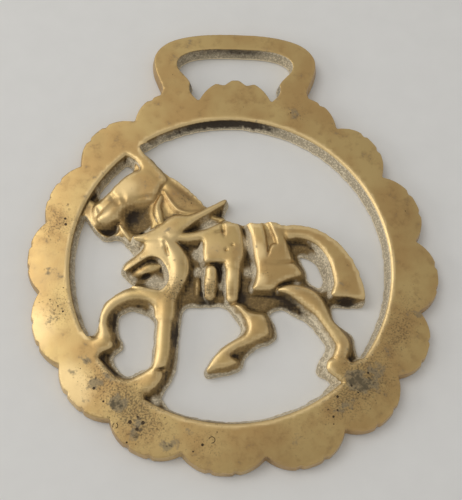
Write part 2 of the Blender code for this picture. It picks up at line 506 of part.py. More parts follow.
def on_edge(plan, points):
    """Points moved onto the metal's nearest edge."""
    nudge = GRID_PITCH / 20
    for _ in range(3):
        distance = plan.distance(points)
        slope = np.column_stack([plan.distance(points + (nudge, 0)) - distance,
                                 plan.distance(points + (0, nudge)) - distance]) / nudge
        steepness = np.maximum((slope ** 2).sum(1), 0.25)
        points = points - slope * (distance / steepness)[:, None]
    return points


def cut_triangles(triangles, side, cut):
    """The parts of triangles that lie on metal. side is 1 on metal, 0 on its edge and -1 off it."""
    sides = side[triangles]
    kept = triangles[(sides.min(1) >= 0) & (sides.max(1) > 0)].tolist()
    for triangle in triangles[(sides.min(1) < 0) & (sides.max(1) > 0)].tolist():
        shape = []
        for here, after in zip(triangle, triangle[1:] + triangle[:1]):
            if side[here] >= 0:
                shape.append(here)
            if side[here] * side[after] < 0:
                shape.append(cut(here, after))
        kept.extend([shape[0], shape[n], shape[n + 1]] for n in range(1, len(shape) - 1))
    return kept


def front_mesh(plan):
    """Vertices and triangles of the front: a square grid fitted to the metal's edges."""
    low, high = plan.box()
    counts = np.ceil((high - low) / GRID_PITCH).astype(int) + 5
    rows, columns = np.indices((counts[1], counts[0]))
    points = low + (np.column_stack([columns.ravel(), rows.ravel()]) - 2.0) * GRID_PITCH
    distance = plan.distance(points)
    close = np.abs(distance) < 0.38 * GRID_PITCH
    points[close] = on_edge(plan, points[close])
    side = np.where(close, 0, np.sign(distance)).astype(int)
    height = front_height(points, np.where(close, 0.0, distance))

    corner = (rows * counts[0] + columns)[:-1, :-1].ravel()
    across, up = corner + 1, corner + counts[0]
    beyond = up + 1
    rising = np.abs(height[corner] - height[beyond]) <= np.abs(height[across] - height[up])
    first = np.where(rising[:, None], np.column_stack([corner, across, beyond]),
                     np.column_stack([corner, across, up]))
    second = np.where(rising[:, None], np.column_stack([corner, beyond, up]),
                      np.column_stack([across, beyond, up]))

    cuts = {}

    def cut(here, after):
        pair = (min(here, after), max(here, after))
        return cuts.setdefault(pair, len(points) + len(cuts))

    triangles = cut_triangles(np.vstack([first, second]), side, cut)
    pairs = np.array(list(cuts))
    share = distance[pairs[:, 0]] / (distance[pairs[:, 0]] - distance[pairs[:, 1]])
    crossings = points[pairs[:, 0]] + share[:, None] * (points[pairs[:, 1]] - points[pairs[:, 0]])
    crossings = on_edge(plan, crossings)
    points = np.vstack([points, crossings])
    height = np.concatenate([height, front_height(crossings, np.zeros(len(crossings)))])
    used, renumbered = np.unique(np.array(triangles), return_inverse=True)
    return np.column_stack([points[used], height[used]]), renumbered.reshape(-1, 3)


def add_back(mesh):
    """Close the front with walls down to a flat back."""
    body = bmesh.new()
    body.from_mesh(mesh)
    edges = [edge for edge in body.edges if edge.is_boundary]
    walls = bmesh.ops.extrude_edge_only(body, edges=edges)["geom"]
    for vertex in walls:
        if isinstance(vertex, bmesh.types.BMVert):
            vertex.co.z = 0.0
    foot = [edge for edge in body.edges if edge.is_boundary]
    bmesh.ops.triangle_fill(body, use_beauty=True, edges=foot, normal=(0.0, 0.0, -1.0))
    bmesh.ops.recalc_face_normals(body, faces=body.faces)
    body.to_mesh(mesh)
    body.free()


def brass():
    """Worn yellow brass."""
    material = bpy.data.materials.new("brass")
    material.use_nodes = True
    shader = material.node_tree.nodes["Principled BSDF"]
    shader.inputs["Base Color"].default_value = BRASS_COLOUR
    shader.inputs["Metallic"].default_value = 1.0
    shader.inputs["Roughness"].default_value = 0.35
    return material


def make_brass():
    """The casting, centred on its origin and lying on its back."""
    vertices, triangles = front_mesh(Plan())
    middle = (vertices[:, :2].min(0) + vertices[:, :2].max(0)) / 2
    vertices[:, :2] -= middle
    mesh = bpy.data.meshes.new("horse_brass")
    mesh.from_pydata(vertices.tolist(), [], triangles.tolist())
    add_back(mesh)
    mesh.materials.append(brass())
    casting = bpy.data.objects.new("horse_brass", mesh)
    bpy.context.collection.objects.link(casting)
    facets = casting.modifiers.new("Facets", "DECIMATE")
    facets.ratio = min(1.0, FACETS / len(mesh.polygons))
    mesh.shade_smooth()
    mesh.set_sharp_from_angle(angle=math.radians(40))
    return casting


for leftover in list(bpy.data.objects):
    bpy.data.objects.remove(leftover)
make_brass()
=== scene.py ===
"""Looks of a cast horse brass: a harnessed horse in a scalloped ring, under a slotted strap hanger."""

import math

import bpy
import numpy as np
from mathutils import Euler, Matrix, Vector


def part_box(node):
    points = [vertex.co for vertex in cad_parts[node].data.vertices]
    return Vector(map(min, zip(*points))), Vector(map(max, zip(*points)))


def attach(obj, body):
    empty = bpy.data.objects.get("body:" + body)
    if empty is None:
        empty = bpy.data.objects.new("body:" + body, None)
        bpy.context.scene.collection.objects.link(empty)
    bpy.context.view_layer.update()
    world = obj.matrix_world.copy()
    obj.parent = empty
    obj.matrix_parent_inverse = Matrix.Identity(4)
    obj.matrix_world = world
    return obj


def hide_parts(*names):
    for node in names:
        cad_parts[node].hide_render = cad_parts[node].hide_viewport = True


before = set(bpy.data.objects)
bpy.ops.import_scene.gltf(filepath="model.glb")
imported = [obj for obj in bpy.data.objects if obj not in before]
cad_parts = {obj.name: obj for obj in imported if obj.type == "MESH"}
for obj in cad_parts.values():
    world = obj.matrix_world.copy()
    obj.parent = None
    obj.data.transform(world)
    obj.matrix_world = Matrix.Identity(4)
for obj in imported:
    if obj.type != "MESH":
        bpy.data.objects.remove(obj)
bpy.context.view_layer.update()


# The brass
# One casting in yellow brass: strap hanger, scalloped ring and the pierced horse in it. The pattern was
# pressed in sand, so low floors and the openings' edges keep a rough pale skin. High spots are worn smooth
# by polishing.

# Driving sizes in metres
OPENING_RADIUS = 0.0290
RIM_WIDTH = 0.0086
LOBE_DEPTH = 0.0026
HANGER_WIDTH = 0.0329
HANGER_RISE = 0.0115
HANGER_BAR = 0.0044
HANGER_SHIFT = -0.0003
HANGER_LEAN = math.radians(1.2)
SLOT_WIDTH = 0.0222
THICKNESS = 0.0028
RELIEF_RISE = 0.0006
WEB_THICKNESS = 0.0012
EDGE_THICKNESS = 0.0005
OPENING_FLARE = 0.00065
FORM_DRAFT = 0.0008
EDGE_DRAFT = 0.00045
EDGE_ROUND = 0.0003
FILLET = 0.0005
CROWN_REACH = 0.0009
BOWL_CURVE = 1.5
FAR = 0.004
CHAMFER_DROP = 0.0005
NICK_DEPTH = 0.0004

# The rim's lobes, counterclockwise from +X. For each: how far the cusp at its end strays in degrees, and
# how far that cusp and the lobe's tip stray outwards, as shares of the lobes' depth
LOBE_STRAYS = ((-2.2, -0.08, 0.19), (-0.9, -0.38, -0.15), (-1.2, -0.04, -0.12), (-0.5, -0.12, 0.08),
               (1.2, -0.23, 0.31), (1.1, -0.23, -0.08), (1.9, -0.31, -0.27), (0.9, -0.04, -0.54),
               (0.6, -0.04, -0.27), (0.9, 0.23, -0.12), (-0.4, 0.12, -0.12), (-0.9, 0.04, -0.04),
               (0.0, 0.08, -0.08), (0.9, 0.35, 0.31), (0.1, 0.38, 0.5), (-1.9, 0.12, 0.35))
LOBES = len(LOBE_STRAYS)
LOBE_STEPS = 36
LOBE_FULLNESS = 2.5
CREST_LOBE = 4
CREST_NICKS = 2.4
NICK_OFFSET = math.radians(3.3)
NICK_HALF_ANGLE = math.radians(0.9)

# The horse's own units
FIGURE_RADIUS = 29.0
UNIT = OPENING_RADIUS / FIGURE_RADIUS

SPAN_STEPS = 6


# Curves

def spline(points, closed=True):
    """A smooth curve through points, a Catmull-Rom spline read at SPAN_STEPS places in each span."""
    knots = np.array(points, dtype=float)
    if closed:
        before, after, beyond = np.roll(knots, 1, 0), np.roll(knots, -1, 0), np.roll(knots, -2, 0)
    else:
        padded = np.vstack([2 * knots[0] - knots[1], knots, 2 * knots[-1] - knots[-2]])
        before, knots, after, beyond = padded[:-3], padded[1:-2], padded[2:-1], padded[3:]
    share = (np.arange(SPAN_STEPS) / SPAN_STEPS)[None, :, None]
    a, b, c, d = (row[:, None, :] for row in (before, knots, after, beyond))
    curve = b + 0.5 * share * (c - a + share * (2 * a - 5 * b + 4 * c - d + share * (3 * (b - c) + d - a)))
    curve = curve.reshape(-1, knots.shape[1])
    return curve if closed else np.vstack([curve, after[-1]])


def figure(points):
    """A closed outline of the horse, given in figure units, in metres."""
    return spline(points) * UNIT


def arc(radius, start, end, step=math.radians(2.0)):
    """Points on a circle round the opening's centre, from one angle to another."""
    count = max(2, round(abs(end - start) / step))
    angles = np.linspace(start, end, count)
    return radius * np.column_stack([np.cos(angles), np.sin(angles)])


def angle_of(point):
    return math.atan2(point[1], point[0])


# Distances

def outline_distance(p, outline):
    """Signed distance from points p to a closed outline, negative inside it, and at most FAR."""
    order = np.argsort(p[:, 1], kind="stable")
    x, y = p[order].T
    nearest = np.full(len(p), FAR ** 2)
    inside = np.zeros(len(p), dtype=bool)
    for start, end in zip(outline, np.roll(outline, -1, 0)):
        run = end - start
        low, high = sorted((start[1], end[1]))
        band = slice(*np.searchsorted(y, (low - FAR, high + FAR)))
        across, up = x[band] - start[0], y[band] - start[1]
        share = np.clip((across * run[0] + up * run[1]) / max(run @ run, 1e-18), 0.0, 1.0)
        gap = (across - share * run[0]) ** 2 + (up - share * run[1]) ** 2
        nearest[band] = np.minimum(nearest[band], gap)
        band = slice(*np.searchsorted(y, (low, high)))
        if low < high:
            inside[band] ^= x[band] - start[0] < (y[band] - start[1]) * run[0] / run[1]
    distance = np.empty(len(p))
    distance[order] = np.where(inside, -1.0, 1.0) * np.sqrt(nearest)
    return distance


def stroke_distance(p, stations):
    """Signed distance from points p to a stroke's edge, with its half-width and share of height there."""
    track = spline(stations, closed=False)
    best = np.full(len(p), np.inf)
    found = np.zeros((len(p), 2))
    for start, end in zip(track[:-1], track[1:]):
        run = (end - start)[:2] * UNIT
        offset = p - start[:2] * UNIT
        share = np.clip(offset @ run / max(run @ run, 1e-18), 0.0, 1.0)
        width_and_height = start[2:] + share[:, None] * (end - start)[2:]
        distance = np.hypot(*(offset - share[:, None] * run).T) - width_and_height[:, 0] * UNIT
        nearer = distance < best
        best = np.where(nearer, distance, best)
        found[nearer] = width_and_height[nearer]
    return best, found[:, 0] * UNIT, found[:, 1]


def near(p, outline, margin):
    """Which of the points lie within the margin of an outline's box."""
    return np.all((p > outline.min(0) - margin) & (p < outline.max(0) + margin), axis=1)


def smooth_max(a, b, blend):
    return np.maximum(a, b) + np.maximum(blend - np.abs(a - b), 0.0) ** 2 / (4 * blend)


def smooth_min(a, b, blend):
    return -smooth_max(-a, -b, blend)


# Sand casting: rough skin, faces that wave a little, wandering lips of the openings and pinholes

def grain(p, size, seed):
    """Smooth random bumps from -1 to 1 over points p, as far apart as size."""
    table = np.random.default_rng(seed).uniform(-1.0, 1.0, (256, 256))
    place = p / size + 64.0
    cell = np.floor(place).astype(int)
    share = place - cell
    share = share * share * (3 - 2 * share)
    left, down = cell[:, 0] % 256, cell[:, 1] % 256
    right, up = (left + 1) % 256, (down + 1) % 256
    low = table[left, down] + share[:, 0] * (table[right, down] - table[left, down])
    high = table[left, up] + share[:, 0] * (table[right, up] - table[left, up])
    return low + share[:, 1] * (high - low)


def spot(p, x, y, radius):
    """1 at a place given in figure units, falling smoothly to 0 at the radius."""
    reach = np.hypot(*(p / UNIT - (x, y)).T) / radius
    return np.clip(1 - reach, 0.0, 1.0) ** 2 * (1 + 2 * np.clip(reach, 0.0, 1.0))


SKIN_GRAINS = ((0.00085, 0.00005), (0.00045, 0.000045))
FACE_WAVES = ((0.0062, 0.000035), (0.0021, 0.000014))
LIP_WANDER = 0.00016
PINHOLES = ((-16.4, 5.0, 0.55, 1.2), (-1.0, 2.0, 0.5, 0.3), (0.1, 3.0, 0.4, 0.25))


# The plan: rim, hanger, slot and openings

def rim_outline():
    """The scalloped edge: arcs from cusp to cusp, each with two small nicks beside its middle."""
    pitch = 2 * math.pi / LOBES
    tip = OPENING_RADIUS + RIM_WIDTH
    ends = [((number + 0.5) * pitch + math.radians(turn), tip + LOBE_DEPTH * (reach - 1))
            for number, (turn, reach, _) in enumerate(LOBE_STRAYS)]
    starts = [(ends[-1][0] - 2 * math.pi, ends[-1][1])] + ends[:-1]
    points = []
    for number, (start, end) in enumerate(zip(starts, ends)):
        rise = tip + LOBE_DEPTH * LOBE_STRAYS[number][2] - (start[1] + end[1]) / 2
        worn = CREST_NICKS if number == CREST_LOBE else 1.0
        for share in np.arange(LOBE_STEPS) / LOBE_STEPS:
            angle, foot = np.array(start) + share * np.subtract(end, start)
            bow = 1 - abs(2 * share - 1) ** LOBE_FULLNESS
            nick = max(0.0, 1 - abs(abs(share - 0.5) * pitch - NICK_OFFSET) / (NICK_HALF_ANGLE * worn))
            radius = foot + rise * bow - NICK_DEPTH * worn * nick
            points.append((radius * math.cos(angle), radius * math.sin(angle)))
    return np.array(points)


def leaning(half):
    """A closed outline that leans with the hanger, from its right half given from the bottom up."""
    right = np.array(half)
    outline = spline(np.vstack([right, right[::-1] * (-1, 1)]))
    foot = np.array((0.0, OPENING_RADIUS + RIM_WIDTH))
    sine, cosine = math.sin(HANGER_LEAN), math.cos(HANGER_LEAN)
    return foot + (HANGER_SHIFT, 0.0) + (outline - foot) @ np.array([[cosine, sine], [-sine, cosine]])


def hanger_outline():
    """The strap hanger: a loop with a narrow waist, wide shoulders and a low arched top."""
    half, foot = HANGER_WIDTH / 2, OPENING_RADIUS + RIM_WIDTH
    shares = [(0.86, -0.72), (0.885, -0.18), (0.92, -0.02), (0.975, 0.18), (1.0, 0.37), (0.985, 0.53),
              (0.9, 0.71), (0.75, 0.85), (0.5, 0.95), (0.2, 0.995)]
    return leaning([(across * half, foot + up * HANGER_RISE) for across, up in shares])


def slot_outline():
    """The strap slot at the back, down to where the crest lobe rises in it."""
    half, top = SLOT_WIDTH / 2, OPENING_RADIUS + RIM_WIDTH + HANGER_RISE - HANGER_BAR
    shares = [(0.47, 1.12), (0.58, 1.01), (0.685, 0.91), (0.75, 0.825), (0.765, 0.73), (0.757, 0.655),
              (0.8, 0.57), (0.88, 0.475), (0.965, 0.38), (1.0, 0.286), (0.97, 0.19), (0.865, 0.107),
              (0.7, 0.047), (0.45, 0.01), (0.15, 0.0)]
    return leaning([(across * half, top - down * HANGER_RISE) for across, down in shares])


def against_ring(points):
    """An opening of the figure that closes along the ring's foot, the short way round."""
    edge = spline(points, closed=False) * UNIT
    start = angle_of(edge[-1])
    turn = (angle_of(edge[0]) - start + math.pi) % (2 * math.pi) - math.pi
    return np.vstack([edge, arc(OPENING_RADIUS - OPENING_FLARE, start, start + turn)])


def back_opening():
    """The wide opening over the neck, the back and the tail."""
    return against_ring([
        (-17.4, 22.3), (-16.9, 21.4), (-15.2, 20.1), (-13.2, 18.1), (-11.6, 16.9), (-10.1, 16.0),
        (-8.1, 14.4), (-6.5, 12.9), (-5.0, 11.3), (-4.4, 11.2), (-3.2, 11.9), (-1.8, 12.7), (-1.0, 12.5),
        (-0.8, 11.6), (-1.3, 10.1), (-1.3, 8.9), (-0.5, 8.2), (0.6, 7.8), (2.3, 7.7), (3.4, 8.1),
        (4.6, 8.0), (6.2, 8.3), (7.8, 8.3), (9.5, 7.8), (12.0, 8.0), (14.1, 7.7), (16.3, 7.0), (18.4, 5.8),
        (20.4, 4.1), (22.0, 2.1), (23.2, -0.2), (24.1, -2.7), (24.5, -4.6), (24.6, -6.0), (24.2, -6.8),
        (23.4, -7.2), (21.4, -7.4), (19.2, -7.3), (18.5, -7.8), (18.6, -9.2), (19.0, -10.4), (20.0, -11.2),
        (21.4, -12.0), (22.2, -12.9), (22.5, -14.1), (22.7, -15.6), (23.1, -16.4)])


def face_opening():
    """The slot between the forehead and the ring."""
    return figure([
        (-25.0, 13.2), (-24.9, 12.5), (-24.3, 12.2), (-23.5, 13.1), (-22.6, 14.3), (-21.7, 15.4),
        (-20.8, 16.5), (-19.8, 17.3), (-19.2, 18.1), (-19.5, 18.9), (-20.3, 19.3), (-21.2, 18.6),
        (-22.4, 17.2), (-23.6, 15.6), (-24.4, 14.3)])


def chest_opening():
    """The opening in front of the chest, from the chin to the raised foreleg."""
    return against_ring([
        (-24.4, -14.4), (-23.6, -13.9), (-23.2, -12.4), (-23.1, -10.9), (-22.7, -9.1), (-21.8, -7.9),
        (-20.3, -6.5), (-18.8, -5.5), (-17.6, -5.0), (-18.0, -4.4), (-18.9, -3.5), (-19.7, -2.6),
        (-19.8, -1.6), (-19.3, -0.6), (-18.4, 0.3), (-17.9, 0.9), (-18.2, 1.7), (-19.2, 2.7), (-20.1, 3.8),
        (-21.2, 4.0), (-22.8, 3.7), (-23.8, 3.8), (-24.6, 4.5), (-25.4, 5.4), (-26.2, 6.5), (-27.0, 7.6)])


def foreleg_opening():
    """The opening between the two forelegs."""
    return figure([
        (-19.6, -11.4), (-19.1, -10.2), (-17.6, -9.5), (-16.2, -9.6), (-14.6, -10.2), (-13.5, -11.2),
        (-13.2, -12.6), (-13.2, -15.2), (-13.4, -18.4), (-13.8, -19.6), (-15.2, -20.1), (-16.7, -21.0),
        (-17.6, -21.2), (-18.6, -20.5), (-20.0, -18.6), (-19.5, -17.4), (-18.5, -16.4), (-18.5, -15.2),
        (-19.4, -13.5)])


def belly_opening():
    """The opening under the belly, round the raised hind leg."""
    return against_ring([
        (-10.0, -26.4), (-11.0, -25.0), (-10.9, -24.2), (-10.1, -22.7), (-9.3, -21.0), (-8.9, -19.4),
        (-8.7, -15.5), (-8.5, -11.5), (-8.3, -9.4), (-7.4, -8.4), (-5.0, -8.3), (-2.0, -8.0), (-0.8, -8.3),
        (0.1, -9.1), (1.1, -10.2), (1.9, -11.5), (2.0, -12.6), (1.5, -13.5), (-0.9, -15.3), (-2.4, -16.8),
        (-3.4, -18.4), (-4.1, -20.2), (-3.6, -21.1), (-2.0, -20.9), (1.1, -20.1), (2.5, -19.2),
        (2.9, -18.0), (3.7, -16.7), (5.4, -15.4), (7.6, -14.5), (8.5, -13.5), (8.4, -12.0), (7.8, -10.3),
        (7.3, -9.3), (8.0, -8.5), (9.7, -8.2), (12.2, -9.5), (14.3, -10.7), (15.9, -12.5), (17.0, -14.3),
        (17.2, -15.3), (16.1, -17.1), (15.5, -18.7), (15.7, -19.7), (17.4, -20.7), (17.9, -21.5),
        (16.6, -22.8)])


def tail_opening():
    """The small opening between the tail and the haunch."""
    return figure([
        (12.7, 1.9), (13.5, 2.1), (15.3, 1.1), (16.2, -0.2), (16.9, -2.0), (16.8, -3.1), (16.2, -3.8),
        (15.0, -3.3), (14.3, -2.6), (13.7, -0.4)])


class Plan:
    """The brass seen from the front: where there is metal, and how far its nearest edge is."""

    def __init__(self):
        self.rim = rim_outline()
        self.hanger = hanger_outline()
        self.slot = slot_outline()
        self.openings = [back_opening(), face_opening(), chest_opening(), foreleg_opening(), belly_opening(),
                         tail_opening()]

    def box(self):
        corners = np.vstack([self.rim, self.hanger])
        return corners.min(0), corners.max(0)

    def distance(self, p):
        """Distance to the metal's nearest edge, negative where there is none."""
        hanger = np.minimum(-outline_distance(p, self.hanger), outline_distance(p, self.slot))
        metal = np.maximum(-outline_distance(p, self.rim), hanger)
        for opening in self.openings:
            close = near(p, opening, THICKNESS)
            metal[close] = np.minimum(metal[close], outline_distance(p[close], opening))
        inner = np.hypot(*p.T) < OPENING_RADIUS + EDGE_DRAFT
        wander = LIP_WANDER * (0.6 * grain(p, 0.0011, 3) + 0.4 * grain(p, 0.0005, 4) - 0.3)
        return metal + np.where(inner, wander, 0.0)


# The relief

class Relief:
    """Heights of the front over points p, built up and cut back form by form.

    A share of 0 is the web between the forms, and 1 is the highest spot of the horse.
    """

    def __init__(self, p):
        self.p = p
        self.z = np.full(len(p), WEB_THICKNESS)

    def level(self, share):
        return WEB_THICKNESS + share * (THICKNESS + RELIEF_RISE - WEB_THICKNESS)

    def wall(self, distance, draft):
        """How far a form has fallen at a distance from its edge: a rounded shoulder, then a sloping wall."""
        shoulder = EDGE_ROUND * np.clip(1 + distance / (2 * EDGE_ROUND), 0.0, 1.0) ** 2
        return shoulder + np.maximum(distance, 0.0) * (THICKNESS - WEB_THICKNESS) / draft

    def plate(self, points, share, draft=1.0, crown=0.0):
        """Raise a form from its outline in figure units. Its top falls by the crown towards its edge."""
        outline = figure(points)
        close = near(self.p, outline, 3 * FORM_DRAFT * draft)
        distance = outline_distance(self.p[close], outline)
        sag = crown * UNIT * np.exp(np.minimum(distance, 0.0) / CROWN_REACH)
        top = self.level(share) - sag - self.wall(distance, draft * FORM_DRAFT)
        self.z[close] = smooth_max(self.z[close], top, FILLET)

    def stroke(self, stations, draft=1.0, crown=0.2):
        """Raise a rounded limb or strap from its stations: x, y, half-width and share of height."""
        widest = max(station[2] for station in stations) * UNIT
        close = near(self.p, np.array(stations)[:, :2] * UNIT, widest + 3 * FORM_DRAFT * draft)
        distance, half, share = stroke_distance(self.p[close], stations)
        across = np.clip(1 + distance / half, 0.0, 1.0)
        top = self.level(share) - crown * half * across ** 2 - self.wall(distance, draft * FORM_DRAFT)
        self.z[close] = smooth_max(self.z[close], top, FILLET)

    def hollow(self, points, share, reach=1.0):
        """Sink a bowl from its outline at the brim. Its floor begins within the reach of the brim."""
        outline = figure(points)
        close = near(self.p, outline, FORM_DRAFT)
        distance = outline_distance(self.p[close], outline)
        climb = np.maximum(1 + distance / (reach * UNIT), 0.0) ** BOWL_CURVE
        floor = self.level(share) + climb * (self.level(1.0) - self.level(share))
        self.z[close] = smooth_min(self.z[close], floor, EDGE_ROUND)

    def groove(self, stations):
        """Cut a groove from its stations: x, y, half-width and share of depth."""
        widest = max(station[2] for station in stations) * UNIT
        close = near(self.p, np.array(stations)[:, :2] * UNIT, widest)
        distance, half, share = stroke_distance(self.p[close], stations)
        depth = np.clip(-distance / half, 0.0, 1.0)
        self.z[close] -= (self.level(share) - WEB_THICKNESS) * depth * depth * (3 - 2 * depth)


def ring_joins():
    """Outlines of the forehead and of the three feet on the ring, where they run level into it."""
    poll = [(-21.8, 21.6), (-19.5, 20.1), (-18.5, 19.4), (-17.7, 18.3), (-17.8, 17.5), (-18.6, 17.1),
            (-19.4, 16.7), (-20.4, 15.9), (-21.4, 14.8), (-22.4, 13.6), (-22.6, 12.4), (-21.2, 11.4),
            (-18.6, 11.5), (-16.2, 12.2), (-14.4, 12.7), (-13.8, 14.2), (-12.6, 15.8), (-13.9, 17.7),
            (-15.6, 19.6), (-17.2, 21.6), (-16.8, 24.2), (-20.0, 25.0)]
    raised_foot = [(-23.2, -15.2), (-21.5, -15.2), (-20.2, -15.7), (-20.2, -16.6), (-21.2, -17.2),
                   (-22.2, -17.9), (-23.1, -19.8), (-26.0, -18.6), (-26.8, -14.2), (-25.0, -13.8),
                   (-23.9, -15.0)]
    standing_foot = [(-13.0, -20.0), (-11.5, -20.4), (-11.2, -21.4), (-11.8, -22.6), (-13.0, -23.8),
                     (-14.2, -24.4), (-14.0, -27.4), (-18.6, -25.4), (-20.2, -21.8), (-17.2, -22.2),
                     (-15.0, -21.2)]
    hind_foot = [(17.6, -17.4), (19.6, -17.2), (20.6, -17.2), (21.6, -17.8), (23.4, -17.0), (25.6, -17.0),
                 (24.2, -21.4), (20.8, -24.0), (19.7, -21.4), (17.4, -19.5), (17.1, -18.4)]
    return figure(poll), figure(raised_foot), figure(standing_foot), figure(hind_foot)


def raise_ring(relief):
    """The flat ring and hanger. The wall of the round opening flares, and the lobes slope down outwards."""
    radius = np.hypot(*relief.p.T)
    inward = OPENING_RADIUS - radius
    slope = (THICKNESS - EDGE_THICKNESS) / OPENING_FLARE
    shoulder = EDGE_ROUND * np.clip(1 + inward / (2 * EDGE_ROUND), 0.0, 1.0) ** 2
    lobes = np.clip((radius - OPENING_RADIUS) / RIM_WIDTH, 0.0, 1.0)
    on_rim = np.clip((OPENING_RADIUS + RIM_WIDTH / 2 - relief.p[:, 1]) / RIM_WIDTH, 0.0, 1.0)
    top = THICKNESS - shoulder - np.maximum(inward, 0.0) * slope - CHAMFER_DROP * on_rim * lobes ** 3
    for join in ring_joins():
        close = near(relief.p, join, 3 * FORM_DRAFT)
        fall = relief.wall(outline_distance(relief.p[close], join), FORM_DRAFT)
        top[close] = np.maximum(top[close], THICKNESS - fall)
    relief.z = smooth_max(relief.z, top, FILLET)


def raise_head(relief):
    """Head turned down to the ring: forehead, nose ridge, bowls of cheek and mouth, and lips."""
    relief.plate([(-16.5, 21.0), (-4.0, 12.0), (-9.0, 6.5), (-15.5, 3.8), (-18.0, 3.5), (-19.6, 4.2),
                  (-21.0, 3.8), (-22.6, 3.4), (-24.2, 4.3), (-25.5, 5.8), (-27.3, 7.6), (-28.2, 9.2),
                  (-26.6, 11.2), (-24.6, 11.0), (-20.0, 15.8)], 0.36, draft=1.2)
    relief.plate([(-18.4, 17.2), (-19.3, 16.8), (-20.4, 15.9), (-21.4, 14.8), (-22.4, 13.6), (-23.4, 12.4),
                  (-24.5, 11.0), (-25.6, 9.9), (-25.7, 8.4), (-25.2, 7.0), (-24.5, 6.2), (-23.3, 5.8),
                  (-22.3, 6.2), (-21.3, 6.9), (-20.4, 7.2), (-20.0, 8.2), (-19.2, 9.4), (-18.2, 10.3),
                  (-16.6, 10.9), (-15.0, 11.2), (-14.3, 12.2), (-13.7, 13.6), (-13.6, 15.0), (-14.6, 16.4),
                  (-16.0, 17.6)], 0.68, draft=1.3, crown=0.2)
    relief.stroke([(-18.0, 14.4, 2.2, 0.66), (-19.4, 12.2, 2.2, 0.78), (-20.8, 10.2, 2.0, 0.92),
                   (-22.3, 8.3, 1.8, 1.0), (-23.7, 7.4, 1.3, 0.96)], draft=2.0, crown=0.4)
    relief.groove([(-22.6, 12.3, 0.8, 0.04), (-21.9, 11.0, 0.9, 0.1), (-21.1, 10.0, 0.7, 0.05)])
    relief.groove([(-20.6, 12.6, 0.7, 0.03), (-20.2, 11.5, 0.8, 0.08), (-20.0, 10.6, 0.6, 0.04)])
    relief.groove([(-24.9, 9.6, 0.6, 0.05), (-24.3, 8.6, 0.7, 0.1), (-24.7, 7.7, 0.6, 0.06)])
    relief.hollow([(-14.2, 12.0), (-16.3, 11.8), (-18.4, 11.2), (-20.1, 10.0), (-21.1, 8.3), (-21.1, 6.4),
                   (-20.2, 4.8), (-18.8, 3.6), (-16.9, 3.2), (-15.2, 3.9), (-13.9, 5.4), (-13.5, 7.2),
                   (-13.9, 8.9), (-14.1, 10.3)], -0.15, reach=2.6)
    relief.hollow([(-26.0, 6.2), (-25.0, 6.8), (-23.5, 6.4), (-22.3, 6.8), (-21.2, 7.5), (-20.0, 7.5),
                   (-19.8, 5.6), (-20.6, 4.0), (-22.2, 3.2), (-24.0, 3.7), (-25.3, 4.8)], -0.1, reach=1.7)
    relief.stroke([(-20.6, 6.3, 0.4, 0.52), (-19.8, 5.1, 0.5, 0.6), (-18.7, 3.8, 0.5, 0.5)],
                  draft=1.2, crown=0.5)
    relief.stroke([(-13.4, 12.4, 0.6, 0.56), (-13.9, 10.4, 0.8, 0.68), (-13.7, 8.8, 1.0, 0.76),
                   (-13.2, 7.4, 0.8, 0.7), (-12.8, 6.4, 0.6, 0.6)], draft=2.5, crown=0.6)


def raise_neck_and_hames(relief):
    """Mane, neck and the pointed hames over the collar."""
    relief.plate([(-13.6, 16.8), (-11.9, 15.4), (-9.0, 13.2), (-5.3, 10.3), (-6.5, 9.0), (-9.0, 9.0),
                  (-11.2, 10.4), (-12.8, 12.8), (-13.3, 15.0)], 0.5, draft=2.5, crown=0.1)
    relief.hollow([(-13.3, 13.6), (-12.6, 12.4), (-11.4, 10.6), (-10.5, 9.5), (-11.4, 8.7), (-12.6, 8.6),
                   (-13.1, 10.0), (-13.3, 11.8)], 0.36, reach=1.3)
    relief.stroke([(-12.9, 13.5, 0.4, 0.5), (-12.0, 12.0, 0.5, 0.56), (-10.8, 10.4, 0.6, 0.6),
                   (-9.8, 9.6, 0.6, 0.64), (-8.2, 9.2, 0.6, 0.66), (-6.6, 9.5, 0.5, 0.62),
                   (-5.2, 10.2, 0.4, 0.55)], draft=4.0, crown=0.3)
    relief.plate([(-1.5, 12.0), (-3.4, 11.0), (-5.0, 10.1), (-6.6, 9.2), (-8.2, 8.6), (-10.3, 8.5),
                  (-11.6, 7.9), (-13.0, 6.6), (-14.6, 5.4), (-16.2, 4.6), (-17.8, 4.0), (-17.6, 3.3),
                  (-15.8, 2.9), (-13.0, 2.9), (-10.5, 3.4), (-9.4, 4.9), (-8.4, 6.0), (-7.2, 7.1),
                  (-5.9, 8.1), (-4.4, 9.1), (-2.9, 10.2), (-1.2, 11.4)], 0.92, crown=0.12)


